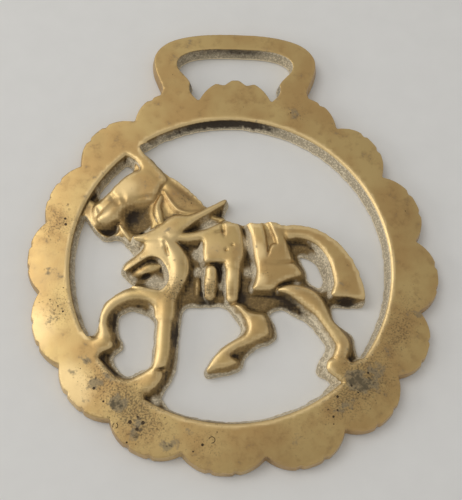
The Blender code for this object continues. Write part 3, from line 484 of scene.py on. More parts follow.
def raise_shoulder(relief):
    """Collar and shoulder, with the hollow in front of the collar and the bead in it."""
    relief.plate([(-15.6, 4.2), (-16.0, 1.8), (-17.2, 0.3), (-19.0, -1.4), (-19.5, -3.0), (-18.3, -5.0),
                  (-16.0, -7.0), (-13.5, -9.2), (-12.9, -11.5), (-9.9, -11.5), (-9.5, -7.6), (-8.5, -5.2),
                  (-7.7, -3.2), (-7.5, -1.4), (-7.9, 0.3), (-8.8, 1.8), (-9.9, 3.2), (-12.0, 5.0)],
                 0.9, crown=0.3)
    relief.stroke([(-12.4, 3.4, 0.9, 0.94), (-10.6, 1.2, 1.3, 0.98), (-9.6, -1.6, 1.3, 0.98),
                   (-9.9, -4.6, 1.0, 0.9), (-10.9, -7.4, 0.8, 0.84)], draft=2.0, crown=0.35)
    relief.groove([(-12.2, 3.0, 0.4, 0.08), (-11.8, 1.8, 0.5, 0.2), (-11.4, 0.6, 0.4, 0.08)])
    relief.hollow([(-19.1, -3.0), (-17.6, -1.7), (-16.2, -0.6), (-15.0, 0.2), (-14.0, 0.3), (-12.8, -0.1),
                   (-11.8, -1.2), (-11.1, -2.5), (-10.9, -3.8), (-11.3, -5.1), (-12.4, -6.2), (-14.0, -6.1),
                   (-16.0, -5.7), (-17.6, -5.5), (-19.0, -4.2)], 0.0, reach=1.2)
    relief.stroke([(-17.7, -3.2, 0.5, 0.24), (-16.2, -2.3, 1.1, 0.36), (-14.6, -1.5, 1.2, 0.42),
                   (-13.2, -1.3, 0.8, 0.34)], draft=1.4, crown=0.4)
    relief.groove([(-16.6, -4.0, 0.5, 0.02), (-15.2, -3.1, 0.6, 0.16), (-13.8, -2.7, 0.4, 0.04)])


def raise_forelegs(relief):
    """The raised foreleg, bent at the knee, and the standing one. Both feet run on level with the ring."""
    relief.stroke([(-11.4, -8.6, 1.6, 0.88), (-13.2, -7.5, 1.3, 0.9), (-15.4, -6.9, 1.1, 0.92),
                   (-17.4, -7.0, 1.05, 0.92), (-19.2, -7.7, 1.05, 0.9), (-20.9, -9.0, 1.0, 0.9),
                   (-21.9, -10.8, 0.85, 0.88), (-22.1, -12.4, 0.8, 0.85), (-21.8, -13.8, 0.95, 0.82),
                   (-21.8, -15.0, 1.4, 0.79), (-22.6, -16.2, 1.3, 0.7)], draft=1.3, crown=0.25)
    relief.stroke([(-11.3, -7.5, 1.6, 0.88), (-11.3, -10.5, 1.35, 0.92), (-11.4, -13.5, 1.35, 0.92),
                   (-11.4, -16.5, 1.35, 0.9), (-11.7, -19.0, 1.3, 0.87), (-12.4, -20.2, 0.9, 0.82),
                   (-13.0, -21.8, 1.7, 0.74), (-14.2, -23.2, 1.6, 0.66)], draft=1.1, crown=0.25)
    relief.groove([(-12.4, -20.5, 0.3, 0.05), (-11.6, -20.3, 0.45, 0.3), (-11.0, -20.1, 0.45, 0.2)])


def raise_saddle(relief):
    """Saddle pad, with its strap to the collar and two straps below it, then girth and rump cloth."""
    relief.stroke([(-3.6, 8.7, 0.5, 0.3), (0.0, 8.0, 0.6, 0.36), (3.2, 7.7, 0.6, 0.34)], crown=0.2)
    relief.plate([(-12.0, 5.2), (-9.3, 5.1), (-7.3, 5.2), (-5.0, 5.9), (-3.6, 6.6), (-2.4, 7.2),
                  (-1.4, 7.6), (0.2, 7.8), (1.2, 7.0), (1.8, 5.2), (2.1, 3.0), (2.1, 1.2), (1.7, -0.4),
                  (1.4, -1.4), (-0.9, -1.2), (-1.3, -0.4), (-2.8, -0.3), (-4.5, -0.5), (-5.0, 0.4),
                  (-5.2, 1.8), (-5.2, 3.2), (-5.6, 3.8), (-6.6, 3.7), (-8.0, 3.45), (-9.8, 3.55),
                  (-11.4, 3.8)], 0.92, draft=1.2, crown=0.15)
    relief.groove([(-1.9, 7.5, 0.6, 0.08), (-1.7, 6.2, 0.6, 0.18), (-1.5, 4.9, 0.5, 0.1)])
    relief.groove([(-2.9, 5.4, 0.4, 0.06), (-1.8, 5.7, 0.5, 0.12)])
    relief.stroke([(-6.0, -2.5, 0.5, 0.12), (-5.9, -4.4, 0.6, 0.3), (-5.9, -6.2, 0.5, 0.26)],
                  draft=1.5, crown=0.4)
    relief.stroke([(-3.6, -1.9, 1.1, 0.84), (-3.6, -4.3, 1.15, 0.84), (-3.6, -6.3, 1.05, 0.5)],
                  draft=0.8, crown=0.25)
    relief.stroke([(0.3, -0.8, 1.3, 0.9), (0.3, -3.8, 1.25, 0.86), (0.4, -6.6, 1.1, 0.55)],
                  draft=0.9, crown=0.2)
    relief.plate([(2.7, 8.6), (3.5, 5.0), (4.1, 1.4), (4.6, -1.2), (4.5, -3.2), (4.1, -5.1), (6.0, -5.3),
                  (7.6, -5.0), (8.8, -3.9), (10.6, -2.9), (12.6, -2.1), (12.3, -1.0), (11.3, 0.2),
                  (10.8, 1.4), (10.2, 3.4), (9.6, 5.4), (8.6, 8.6)], 0.88, draft=1.2, crown=0.2)
    relief.hollow([(5.2, 8.0), (6.7, 8.2), (7.6, 6.4), (8.3, 4.6), (8.4, 3.4), (7.5, 3.1), (6.9, 1.4),
                   (6.4, 0.8), (6.1, 3.0), (5.8, 5.2)], 0.6, reach=0.7)
    relief.groove([(6.4, -0.1, 0.6, 0.04), (8.4, -0.1, 0.6, 0.08), (11.0, 0.4, 0.7, 0.18)])


def raise_hindquarters(relief):
    """Croup and tail as one broad arch, the near hind leg that stands on the ring, and the raised far one."""
    relief.plate([(8.6, 8.6), (9.9, 5.0), (12.0, 5.1), (14.0, 4.7), (15.6, 3.8), (16.8, 2.4), (17.7, 0.8),
                  (18.3, -1.2), (18.6, -3.4), (18.2, -5.7), (20.8, -5.9), (24.8, -6.2), (25.0, -3.0),
                  (22.0, 4.0), (16.0, 8.4)], 0.84, crown=0.15)
    relief.stroke([(8.9, -5.0, 0.4, 0.74), (10.4, -5.0, 0.9, 0.84), (12.2, -5.5, 1.4, 0.88),
                   (14.3, -6.7, 1.7, 0.9), (16.0, -8.6, 1.3, 0.92), (17.3, -10.8, 1.0, 0.92),
                   (18.8, -12.8, 1.15, 0.92), (19.9, -14.6, 1.25, 0.9), (19.5, -16.6, 1.2, 0.86),
                   (18.9, -18.4, 1.6, 0.7)], draft=1.2, crown=0.2)
    relief.plate([(0.9, -8.3), (2.1, -9.7), (3.0, -11.0), (3.2, -12.3), (2.6, -13.6), (0.5, -14.9),
                  (-1.0, -16.0), (-2.4, -17.4), (-3.4, -19.0), (-3.9, -20.6), (-2.0, -19.9), (0.2, -19.3),
                  (1.4, -18.5), (0.3, -17.3), (1.6, -16.1), (3.5, -15.2), (5.2, -14.3), (6.9, -13.2),
                  (6.7, -11.6), (6.1, -9.9), (4.4, -9.6), (3.1, -9.2), (2.0, -8.3)],
                 0.86, draft=1.4, crown=0.2)


def front_height(p, edge):
    """Height of the front at points p, whose nearest edge of the metal is at the given distance."""
    relief = Relief(p)
    relief.z = EDGE_THICKNESS + (WEB_THICKNESS - EDGE_THICKNESS) * np.clip(edge / WEB_THICKNESS, 0.0, 1.0)
    raise_head(relief)
    raise_neck_and_hames(relief)
    raise_shoulder(relief)
    raise_saddle(relief)
    raise_hindquarters(relief)
    raise_forelegs(relief)
    raise_ring(relief)
    rise = EDGE_THICKNESS + np.maximum(edge, 0.0) * (THICKNESS - EDGE_THICKNESS) / EDGE_DRAFT
    return np.maximum(smooth_min(relief.z, rise, EDGE_ROUND), EDGE_THICKNESS)


def aged_height(p, edge):
    """Height of the worn, rough front."""
    z = front_height(p, edge)
    share = np.clip((z - WEB_THICKNESS) / (THICKNESS - WEB_THICKNESS), 0.0, 1.0)
    skin = np.clip(1.4 - 1.8 * share, 0.0, 1.0)
    for number, (size, depth) in enumerate(SKIN_GRAINS):
        z = z + skin * depth * grain(p, size, 10 + number)
    for number, (size, depth) in enumerate(FACE_WAVES):
        z = z + (1 - skin) * depth * grain(p, size, 20 + number)
    for x, y, radius, depth in PINHOLES:
        z = z - UNIT * depth * spot(p, x, y, radius)
    return np.clip(z, 0.0, THICKNESS + RELIEF_RISE)


# Mesh
GRID_PITCH = 0.00041
SNAP_SHARE = 0.38
# Each round cuts the sides that rise by more than the first value or bend by more than the second
REFINE_STEPS = ((0.00026, 0.000013), (0.00038, 0.000023))


def on_edge(plan, points):
    """Points moved onto the metal's nearest edge."""
    nudge = GRID_PITCH / 20
    for _ in range(3):
        distance = plan.distance(points)
        slope = np.column_stack([plan.distance(points + (nudge, 0)) - distance,
                                 plan.distance(points + (0, nudge)) - distance]) / nudge
        steepness = np.maximum((slope ** 2).sum(1), 0.25)
        points = points - slope * (distance / steepness)[:, None]
    return points


def cut_triangles(triangles, side, cut):
    """The parts of triangles that lie on metal. side is 1 on metal, 0 on its edge and -1 off it."""
    sides = side[triangles]
    kept = triangles[(sides.min(1) >= 0) & (sides.max(1) > 0)].tolist()
    for triangle in triangles[(sides.min(1) < 0) & (sides.max(1) > 0)].tolist():
        shape = []
        for here, after in zip(triangle, triangle[1:] + triangle[:1]):
            if side[here] >= 0:
                shape.append(here)
            if side[here] * side[after] < 0:
                shape.append(cut(here, after))
        kept.extend([shape[0], shape[n], shape[n + 1]] for n in range(1, len(shape) - 1))
    return kept


def front_mesh(plan):
    """Vertices and triangles of the front: a square grid fitted to the metal's edges."""
    low, high = plan.box()
    counts = np.ceil((high - low) / GRID_PITCH).astype(int) + 5
    rows, columns = np.indices((counts[1], counts[0]))
    points = low + (np.column_stack([columns.ravel(), rows.ravel()]) - 2.0) * GRID_PITCH
    distance = plan.distance(points)
    close = np.abs(distance) < SNAP_SHARE * GRID_PITCH
    points[close] = on_edge(plan, points[close])
    side = np.where(close, 0, np.sign(distance)).astype(int)
    height = aged_height(points, np.where(close, 0.0, distance))

    corner = (rows * counts[0] + columns)[:-1, :-1].ravel()
    across, up = corner + 1, corner + counts[0]
    beyond = up + 1
    rising = np.abs(height[corner] - height[beyond]) <= np.abs(height[across] - height[up])
    first = np.where(rising[:, None], np.column_stack([corner, across, beyond]),
                     np.column_stack([corner, across, up]))
    second = np.where(rising[:, None], np.column_stack([corner, beyond, up]),
                      np.column_stack([across, beyond, up]))

    cuts = {}

    def cut(here, after):
        pair = (min(here, after), max(here, after))
        return cuts.setdefault(pair, len(points) + len(cuts))

    triangles = cut_triangles(np.vstack([first, second]), side, cut)
    pairs = np.array(list(cuts))
    share = distance[pairs[:, 0]] / (distance[pairs[:, 0]] - distance[pairs[:, 1]])
    crossings = points[pairs[:, 0]] + share[:, None] * (points[pairs[:, 1]] - points[pairs[:, 0]])
    crossings = on_edge(plan, crossings)
    points = np.vstack([points, crossings])
    height = np.concatenate([height, aged_height(crossings, np.zeros(len(crossings)))])
    used, renumbered = np.unique(np.array(triangles), return_inverse=True)
    return np.column_stack([points[used], height[used]]), renumbered.reshape(-1, 3)


def sorted_sides(triangles):
    """The three sides of each triangle, lower vertex first."""
    return np.sort(np.stack([triangles, np.roll(triangles, -1, 1)], axis=2).reshape(-1, 2), axis=1)


def split_triangles(triangles, middles):
    """Triangles cut at the points given for their sides, -1 where a side stays whole."""
    cut = middles >= 0
    kept = [triangles[~cut.any(1)]]
    a, b, c = triangles[cut.all(1)].T
    ab, bc, ca = middles[cut.all(1)].T
    kept += [np.column_stack(three) for three in ((a, ab, ca), (ab, b, bc), (ca, bc, c), (ab, bc, ca))]
    for turn in range(3):
        shape, middle, sides = (np.roll(rows, -turn, 1) for rows in (triangles, middles, cut))
        one = sides[:, 0] & ~sides[:, 1] & ~sides[:, 2]
        (a, b, c), ab = shape[one].T, middle[one, 0]
        kept += [np.column_stack(three) for three in ((a, ab, c), (ab, b, c))]
        two = sides[:, 0] & sides[:, 1] & ~sides[:, 2]
        (a, b, c), (ab, bc) = shape[two].T, middle[two, :2].T
        kept += [np.column_stack(three) for three in ((a, ab, bc), (ab, b, bc), (a, bc, c))]
    return np.vstack(kept)


def refined(plan, vertices, front):
    """More vertices where the front is steep or bends, and triangles for a plain back with the same edge."""
    back = front
    for steep, bend in REFINE_STEPS:
        edges, used, count = np.unique(sorted_sides(front), axis=0, return_inverse=True, return_counts=True)
        used = used.reshape(-1, 3)
        rim = count == 1
        middle = (vertices[edges[:, 0]] + vertices[edges[:, 1]]) / 2
        straight = middle[:, 2].copy()
        middle[rim, :2] = on_edge(plan, middle[rim, :2])
        distance = np.where(rim, 0.0, plan.distance(middle[:, :2]))
        middle[:, 2] = aged_height(middle[:, :2], distance)
        rise = np.abs(np.subtract(*vertices[edges, 2].T))
        chosen = (rise > steep) | (np.abs(middle[:, 2] - straight) > bend)
        chosen[used[chosen[used].sum(1) == 2].ravel()] = True
        number = np.full(len(edges), -1)
        number[chosen] = len(vertices) + np.arange(chosen.sum())
        front = split_triangles(front, number[used])

        codes = edges @ (len(vertices), 1)
        back_codes = sorted_sides(back) @ (len(vertices), 1)
        place = np.clip(np.searchsorted(codes, back_codes), 0, len(codes) - 1)
        shared = (codes[place] == back_codes) & rim[place]
        back = split_triangles(back, np.where(shared, number[place], -1).reshape(-1, 3))
        vertices = np.vstack([vertices, middle[chosen]])
    return vertices, front, back


def closed_body(vertices, front, back):
    """The front with a flat back under it and a wall between their edges."""
    sides = np.stack([front, np.roll(front, -1, 1)], axis=2).reshape(-1, 2)
    _, first, count = np.unique(sorted_sides(front), axis=0, return_index=True, return_counts=True)
    a, b = sides[first[count == 1]].T
    under, renumbered = np.unique(back, return_inverse=True)
    below = np.zeros(len(vertices), dtype=int)
    below[under] = len(vertices) + np.arange(len(under))
    foot = np.column_stack([vertices[under, :2], np.zeros(len(under))])
    wall = np.vstack([np.column_stack((b, a, below[a])), np.column_stack((b, below[a], below[b]))])
    underside = renumbered.reshape(-1, 3)[:, ::-1] + len(vertices)
    return np.vstack([vertices, foot]), np.vstack([front, wall, underside])


def blurred_height(p, z, front, cell, passes):
    """Height of the front averaged over its neighbourhood, read at each point."""
    low = p.min(0) - 4 * cell
    place = (p - low) / cell
    shape = np.ceil(place.max(0)).astype(int) + 5
    total, weight = np.zeros(shape), np.zeros(shape)
    index = tuple(np.round(place).astype(int).T)
    np.add.at(total, index, np.where(front, z, 0.0))
    np.add.at(weight, index, front * 1.0)
    total, weight = np.where(weight > 0, total / np.maximum(weight, 1), 0.0), np.minimum(weight, 1.0)
    for _ in range(passes):
        for axis in (0, 1):
            total = (np.roll(total, 1, axis) + 2 * total + np.roll(total, -1, axis)) / 4
            weight = (np.roll(weight, 1, axis) + 2 * weight + np.roll(weight, -1, axis)) / 4
    return (total / np.maximum(weight, 1e-6))[index]


# Marks of age on the front, and spots of painted light and shade: place in figure units, radius and strength
# of each
STAINS = ((-22.4, -23.0, 2.4, 0.9), (-24.3, -19.0, 1.6, 0.8), (-18.5, -26.5, 3.2, 1.0),
          (-14.4, -29.2, 2.2, 0.9), (-15.0, -31.4, 2.2, 0.8), (-20.5, -20.5, 2.0, 0.6),
          (-26.0, -21.0, 2.2, 0.5), (-9.5, -33.0, 3.4, 0.6), (-6.5, -30.6, 2.0, 0.5),
          (21.5, -20.5, 3.2, 0.8), (23.5, -21.6, 4.0, 0.9), (26.0, -18.5, 3.0, 0.7),
          (20.0, -25.5, 3.2, 0.6), (33.5, -9.0, 2.8, 0.4), (11.5, 31.0, 2.2, 0.45), (-30.5, -12.0, 2.2, 0.6),
          (-30.3, 9.4, 2.2, 0.7), (-31.5, 2.6, 1.5, 0.6), (-32.4, -2.8, 1.5, 0.6), (21.0, 0.5, 2.4, 0.25),
          (12.0, -31.0, 3.0, 0.5))
PITTING = ((-20.0, -22.5, 10.5, 0.9), (-14.0, -29.5, 9.0, 1.0), (-3.0, -32.5, 10.0, 0.7),
           (24.0, -20.0, 11.0, 1.0), (32.0, -8.0, 10.0, 0.7), (11.5, 31.0, 7.0, 0.7),
           (-12.0, 37.0, 6.0, 0.4), (1.0, 33.0, 7.0, 0.5), (12.0, -30.0, 10.0, 0.55),
           (-30.0, -10.0, 8.0, 0.8), (-32.0, 6.0, 9.0, 0.8), (-10.0, -6.0, 6.0, 0.9),
           (-4.0, -5.5, 6.0, 0.9), (21.0, 0.0, 6.0, 0.4), (-9.0, 12.0, 5.0, 0.8), (6.0, -2.0, 5.0, 0.6),
           (31.0, 12.0, 8.0, 0.4), (-24.0, 26.0, 8.0, 0.3), (13.0, -6.0, 5.0, 0.5), (19.0, -26.0, 7.0, 0.6),
           (29.5, -13.0, 6.0, 0.5))
BROWNED = ((30.0, -16.0, 24.0, 0.15), (8.0, -34.0, 14.0, 0.5), (36.0, 8.0, 14.0, 0.5), (20.0, 1.0, 8.0, 0.3),
           (-9.5, 13.0, 5.0, 1.0), (0.3, -6.2, 2.4, 1.0), (-3.8, -6.4, 2.2, 1.0), (-22.5, 4.9, 2.4, 1.0),
           (-26.6, 8.8, 1.8, 1.0), (6.9, 5.4, 2.0, 1.0), (0.0, 33.0, 12.0, 0.35))
# Pale casting skin at these spots, partly real skin and partly painted light on slopes and walls that face
# the left lamp, such as the ring's right wall and the chest hollow.
PALE_SKIN_AND_HIGHLIGHT_SPOTS = ((-13.5, -4.5, 3.2, 1.0), (-18.0, -3.8, 2.0, 1.0), (3.4, 4.0, 3.0, 1.0), (-15.2, 5.2, 1.8, 1.0),
             (-18.0, 2.4, 2.4, 1.0), (-5.9, 1.5, 2.2, 1.0), (-5.8, -2.0, 1.8, 1.0), (3.2, -1.5, 2.0, 0.8),
             (-0.5, 8.4, 2.4, 0.9), (15.2, 1.0, 3.4, 0.9), (16.6, -3.5, 2.4, 0.9), (28.4, 4.0, 12.0, 1.0),
             (-12.0, -25.4, 2.0, 0.8), (17.6, -21.6, 1.8, 0.8), (16.5, -16.0, 2.6, 0.6),
             (-18.4, 18.2, 1.6, 1.0), (-1.5, -4.4, 1.4, 1.0), (-4.5, 7.4, 3.0, 0.8), (12.0, -3.6, 1.6, 0.8),
             (-14.0, 7.5, 1.0, 0.5))
# Dark brown dirt at these spots, partly painted shade: besides the real pinhole they darken the cheek hollow,
# the mouth, the webs between legs and straps, the crease under the bead, the slot's walls and the ring's top
# wall.
DIRT_AND_SHADE_SPOTS = ((-18.2, 8.2, 2.6, 0.9), (-2.6, -1.2, 2.0, 1.0), (10.5, -6.8, 5.0, 0.7), (-4.5, -7.2, 3.0, 0.6),
             (2.2, -6.5, 2.0, 0.8), (-20.0, -11.5, 3.0, 0.6), (-9.2, -14.0, 3.0, 0.7),
             (5.5, -12.5, 3.0, 0.6), (-22.8, 5.0, 2.0, 0.5), (-8.5, -2.5, 2.4, 0.6), (21.0, -7.0, 2.5, 0.8),
             (-0.3, 41.0, 16.0, 0.5), (-16.4, 5.0, 0.8, 2.0), (-15.2, -3.0, 1.2, 1.0),
             (-1.0, 30.0, 18.0, 0.9))
# Painted highlights: paler metal where the left lamp catches the shoulder, the nose, the legs, the straps and
# the left and lower left of the ring.
PAINTED_HIGHLIGHTS = ((-12.0, 2.0, 6.0, 0.9), (-9.8, -4.0, 4.0, 0.6), (-3.0, 2.5, 4.5, 0.3), (-20.0, 13.5, 5.0, 0.6),
          (-24.2, 8.0, 3.5, 1.0), (-20.0, -8.5, 4.5, 0.9), (-22.0, -13.0, 4.0, 0.7), (4.8, 2.0, 3.0, 0.8),
          (5.0, -3.5, 2.5, 0.8), (-3.8, -3.5, 2.0, 0.6), (0.0, -3.0, 2.5, 0.6), (18.5, -13.0, 3.0, 0.4),
          (-34.0, -4.0, 12.0, 0.2), (-27.0, -24.0, 7.0, 0.9), (-34.0, -14.0, 7.0, 0.6))

# Two small crater rings on the lower ring: place and radius in figure units
CRATERS = ((-2.3, -31.8, 0.85), (-18.5, -30.0, 0.8))

# Where the finish turns from face to floor, wall and lip, in metres
FLOOR_TOP = 0.0021
FLOOR_BLEND = 0.0007
LIP_REACH = 0.0007
BRINK_REACH = 0.00022
CORNER_DEPTH = 0.00045
AROUND_CELL = 0.0003
AROUND_PASSES = 6
WALL_TILT = 0.88


def marks(p, spots):
    """How strongly any of the spots marks each point, 0 to 1."""
    return np.clip(sum(share * spot(p, x, y, radius) for x, y, radius, share in spots), 0.0, 1.0)


def mark_wear_and_painted_light(mesh, middle, plan):
    """Point values that the finish reads: skin, pale skin and painted light, dirt and painted shade,
    rubbing and painted highlight, film, stains and pits.
    """
    count = len(mesh.vertices)
    co, normal = np.empty(3 * count), np.empty(3 * count)
    mesh.vertices.foreach_get("co", co)
    mesh.vertices.foreach_get("normal", normal)
    co, normal = co.reshape(-1, 3), normal.reshape(-1, 3)
    p, z = co[:, :2] + middle, co[:, 2]
    front = normal[:, 2] > -0.5
    around = blurred_height(co[:, :2], z, front, AROUND_CELL, AROUND_PASSES)
    inward = np.hypot(*p.T) < OPENING_RADIUS + RIM_WIDTH / 3
    edge = plan.distance(p)
    outer = ~inward & (outline_distance(p, plan.slot) > HANGER_BAR / 3)
    steep = np.clip((WALL_TILT - np.abs(normal[:, 2])) / 0.5, 0.0, 1.0)
    low = np.clip((FLOOR_TOP - z) / FLOOR_BLEND, 0.0, 1.0)
    lip = np.clip(1.2 - edge / LIP_REACH, 0.0, 1.0)
    brink = np.clip(1.5 - edge / BRINK_REACH, 0.0, 1.0)
    sunken = np.clip((around - z) / CORNER_DEPTH, 0.0, 1.0)
    # Steep walls facing left are made paler: painted light where the left lamp falls on them.
    painted_light_on_left_walls = steep * np.clip(-1.5 * normal[:, 0], 0.0, 1.0)
    pale_skin_and_highlight = np.clip(np.maximum(0.8 * lip, marks(p, PALE_SKIN_AND_HIGHLIGHT_SPOTS)) + painted_light_on_left_walls, 0.0, 1.0)
    # Dark brown in sunken corners and on steep walls: dirt, partly painted shade in the recesses and on the
    # walls.
    dirt_and_shade = (0.8 * sunken + 0.4 * steep) * (1 - 0.92 * pale_skin_and_highlight)
    dirt_and_shade += marks(p, DIRT_AND_SHADE_SPOTS) * np.maximum(low, steep) * (1 - 0.8 * brink)
    # High spots are paler: worn by polishing, and partly a painted highlight on ridges. The painted highlight
    # spots add to them.
    rubbed_and_highlight = np.clip((z - around) / CORNER_DEPTH, 0.0, 1.0) * np.where(inward, 1.0, 0.2)
    values = {
        "skin": np.where(front, np.maximum(low, steep), 0.3) * ~outer,
        "pale_skin_and_highlight": pale_skin_and_highlight * np.maximum(low, steep) * ~outer,
        "dirt_and_shade": dirt_and_shade * front * ~outer,
        "rubbed_and_highlight": np.maximum(rubbed_and_highlight, marks(p, PAINTED_HIGHLIGHTS)) * front,
        "browned": np.where(front, marks(p, BROWNED), 0.6),
        "stained": marks(p, STAINS) * front,
        "pitted": np.where(front, marks(p, PITTING), 0.4)}
    for name, value in values.items():
        layer = mesh.attributes.new(name, "FLOAT", "POINT")
        layer.data.foreach_set("value", np.clip(value, 0.0, 1.0).astype(np.float32))


def linear(colour):
    """A hex colour in linear light."""
    channels = [int(colour[n:n + 2], 16) / 255 for n in (1, 3, 5)]
    return [c / 12.92 if c <= 0.04045 else ((c + 0.055) / 1.055) ** 2.4 for c in channels] + [1.0]


def add_node(tree, kind, inputs=None, **settings):
    """Add a node, with its settings and its inputs, each a value or another node's output."""
    node = tree.nodes.new(kind)
    for name, value in settings.items():
        setattr(node, name, value)
    for name, value in (inputs or {}).items():
        socket = node.inputs[name]
        if isinstance(value, bpy.types.NodeSocket):
            tree.links.new(value, socket)
        else:
            socket.default_value = value
    return node


# Finish: cast brass, hand polished for years. The high faces are smooth yellow metal with a faint brown film.
# Low floors and the walls of the openings keep a matt, speckled casting skin, with dark brown dirt in the
# corners and painted shade there and on the walls. Walls facing left and some slopes are paler as painted
# light, and high spots, worn by polishing, are paler still with a painted highlight.
# The rubbed tone is partly a painted highlight, the pale skin tone partly painted light and the dirt tone
# partly painted shade.
FACE, FACE_DULL, FILM, RUBBED_AND_HIGHLIGHT_TONE = "#D2B476", "#C29D62", "#9C7848", "#EFD196"
SKIN, PALE_SKIN_AND_HIGHLIGHT_TONE, SKIN_SPECK, DIRT_AND_SHADE_TONE = "#9A7E4C", "#FFF2D4", "#57421F", "#2A1C0A"
STAIN, STAIN_DARK, PIT = "#8C8168", "#544A34", "#45351E"
# The size in metres of each noise. Real sand grit is finer than the speck, which is drawn coarse enough to
# show
NOISES = {"cloud": 0.009, "patch": 0.0022, "sand": 0.0008, "speck": 0.00035}
PIT_SPACING = 0.0011
PIT_RARITY = 3.0
PIT_REACH = 0.4
CRATER_LINE = 0.00006
SCRATCH_WIDTH = 0.00018
SCRATCH_LENGTH = 0.006
SCRATCH_TURN = math.radians(35.0)
GRAIN_DEPTH = 0.00009

# Layers of the finish from the metal up: what it depends on, the noise that breaks it and the noise's share,
# the sums where it starts and is full, its strength, how dull it is and its colour
LAYERS = (
    (None, "cloud", 1.0, 0.35, 0.65, 0.9, 0.0, FACE_DULL),
    ("browned", "patch", 0.8, 0.45, 1.4, 0.6, 0.1, FILM),
    (None, "patch", 1.0, 0.5, 0.72, 0.4, 0.0, FILM),
    # Paler metal on high spots and at the highlight spots: rubbed wear and painted highlight.
    ("rubbed_and_highlight", "patch", 0.5, 0.3, 0.9, 0.85, 0.0, RUBBED_AND_HIGHLIGHT_TONE),
    ("pitted", "sand", 1.8, 1.3, 2.3, 0.55, 0.2, FILM),
    ("pitted", "speck", 2.6, 2.0, 2.6, 0.65, 0.3, STAIN_DARK),
    ("stained", "patch", 3.0, 1.9, 2.3, 0.6, 0.6, STAIN),
    ("stained", "sand", 3.0, 2.15, 2.7, 0.75, 0.7, STAIN_DARK),
    ("skin", "speck", 0.5, 0.4, 1.0, 1.0, 0.6, SKIN),
    # Pale skin at the lips and at the listed spots, partly painted light on walls facing left.
    ("pale_skin_and_highlight", "sand", 0.5, 0.45, 1.0, 0.85, 0.9, PALE_SKIN_AND_HIGHLIGHT_TONE),
    ("skin", "speck", 1.6, 1.5, 1.9, 0.5, 0.6, SKIN_SPECK),
    # Dark brown in corners and on walls: dirt, partly painted shade.
    ("dirt_and_shade", "sand", 0.7, 0.5, 1.3, 0.95, 0.7, DIRT_AND_SHADE_TONE))


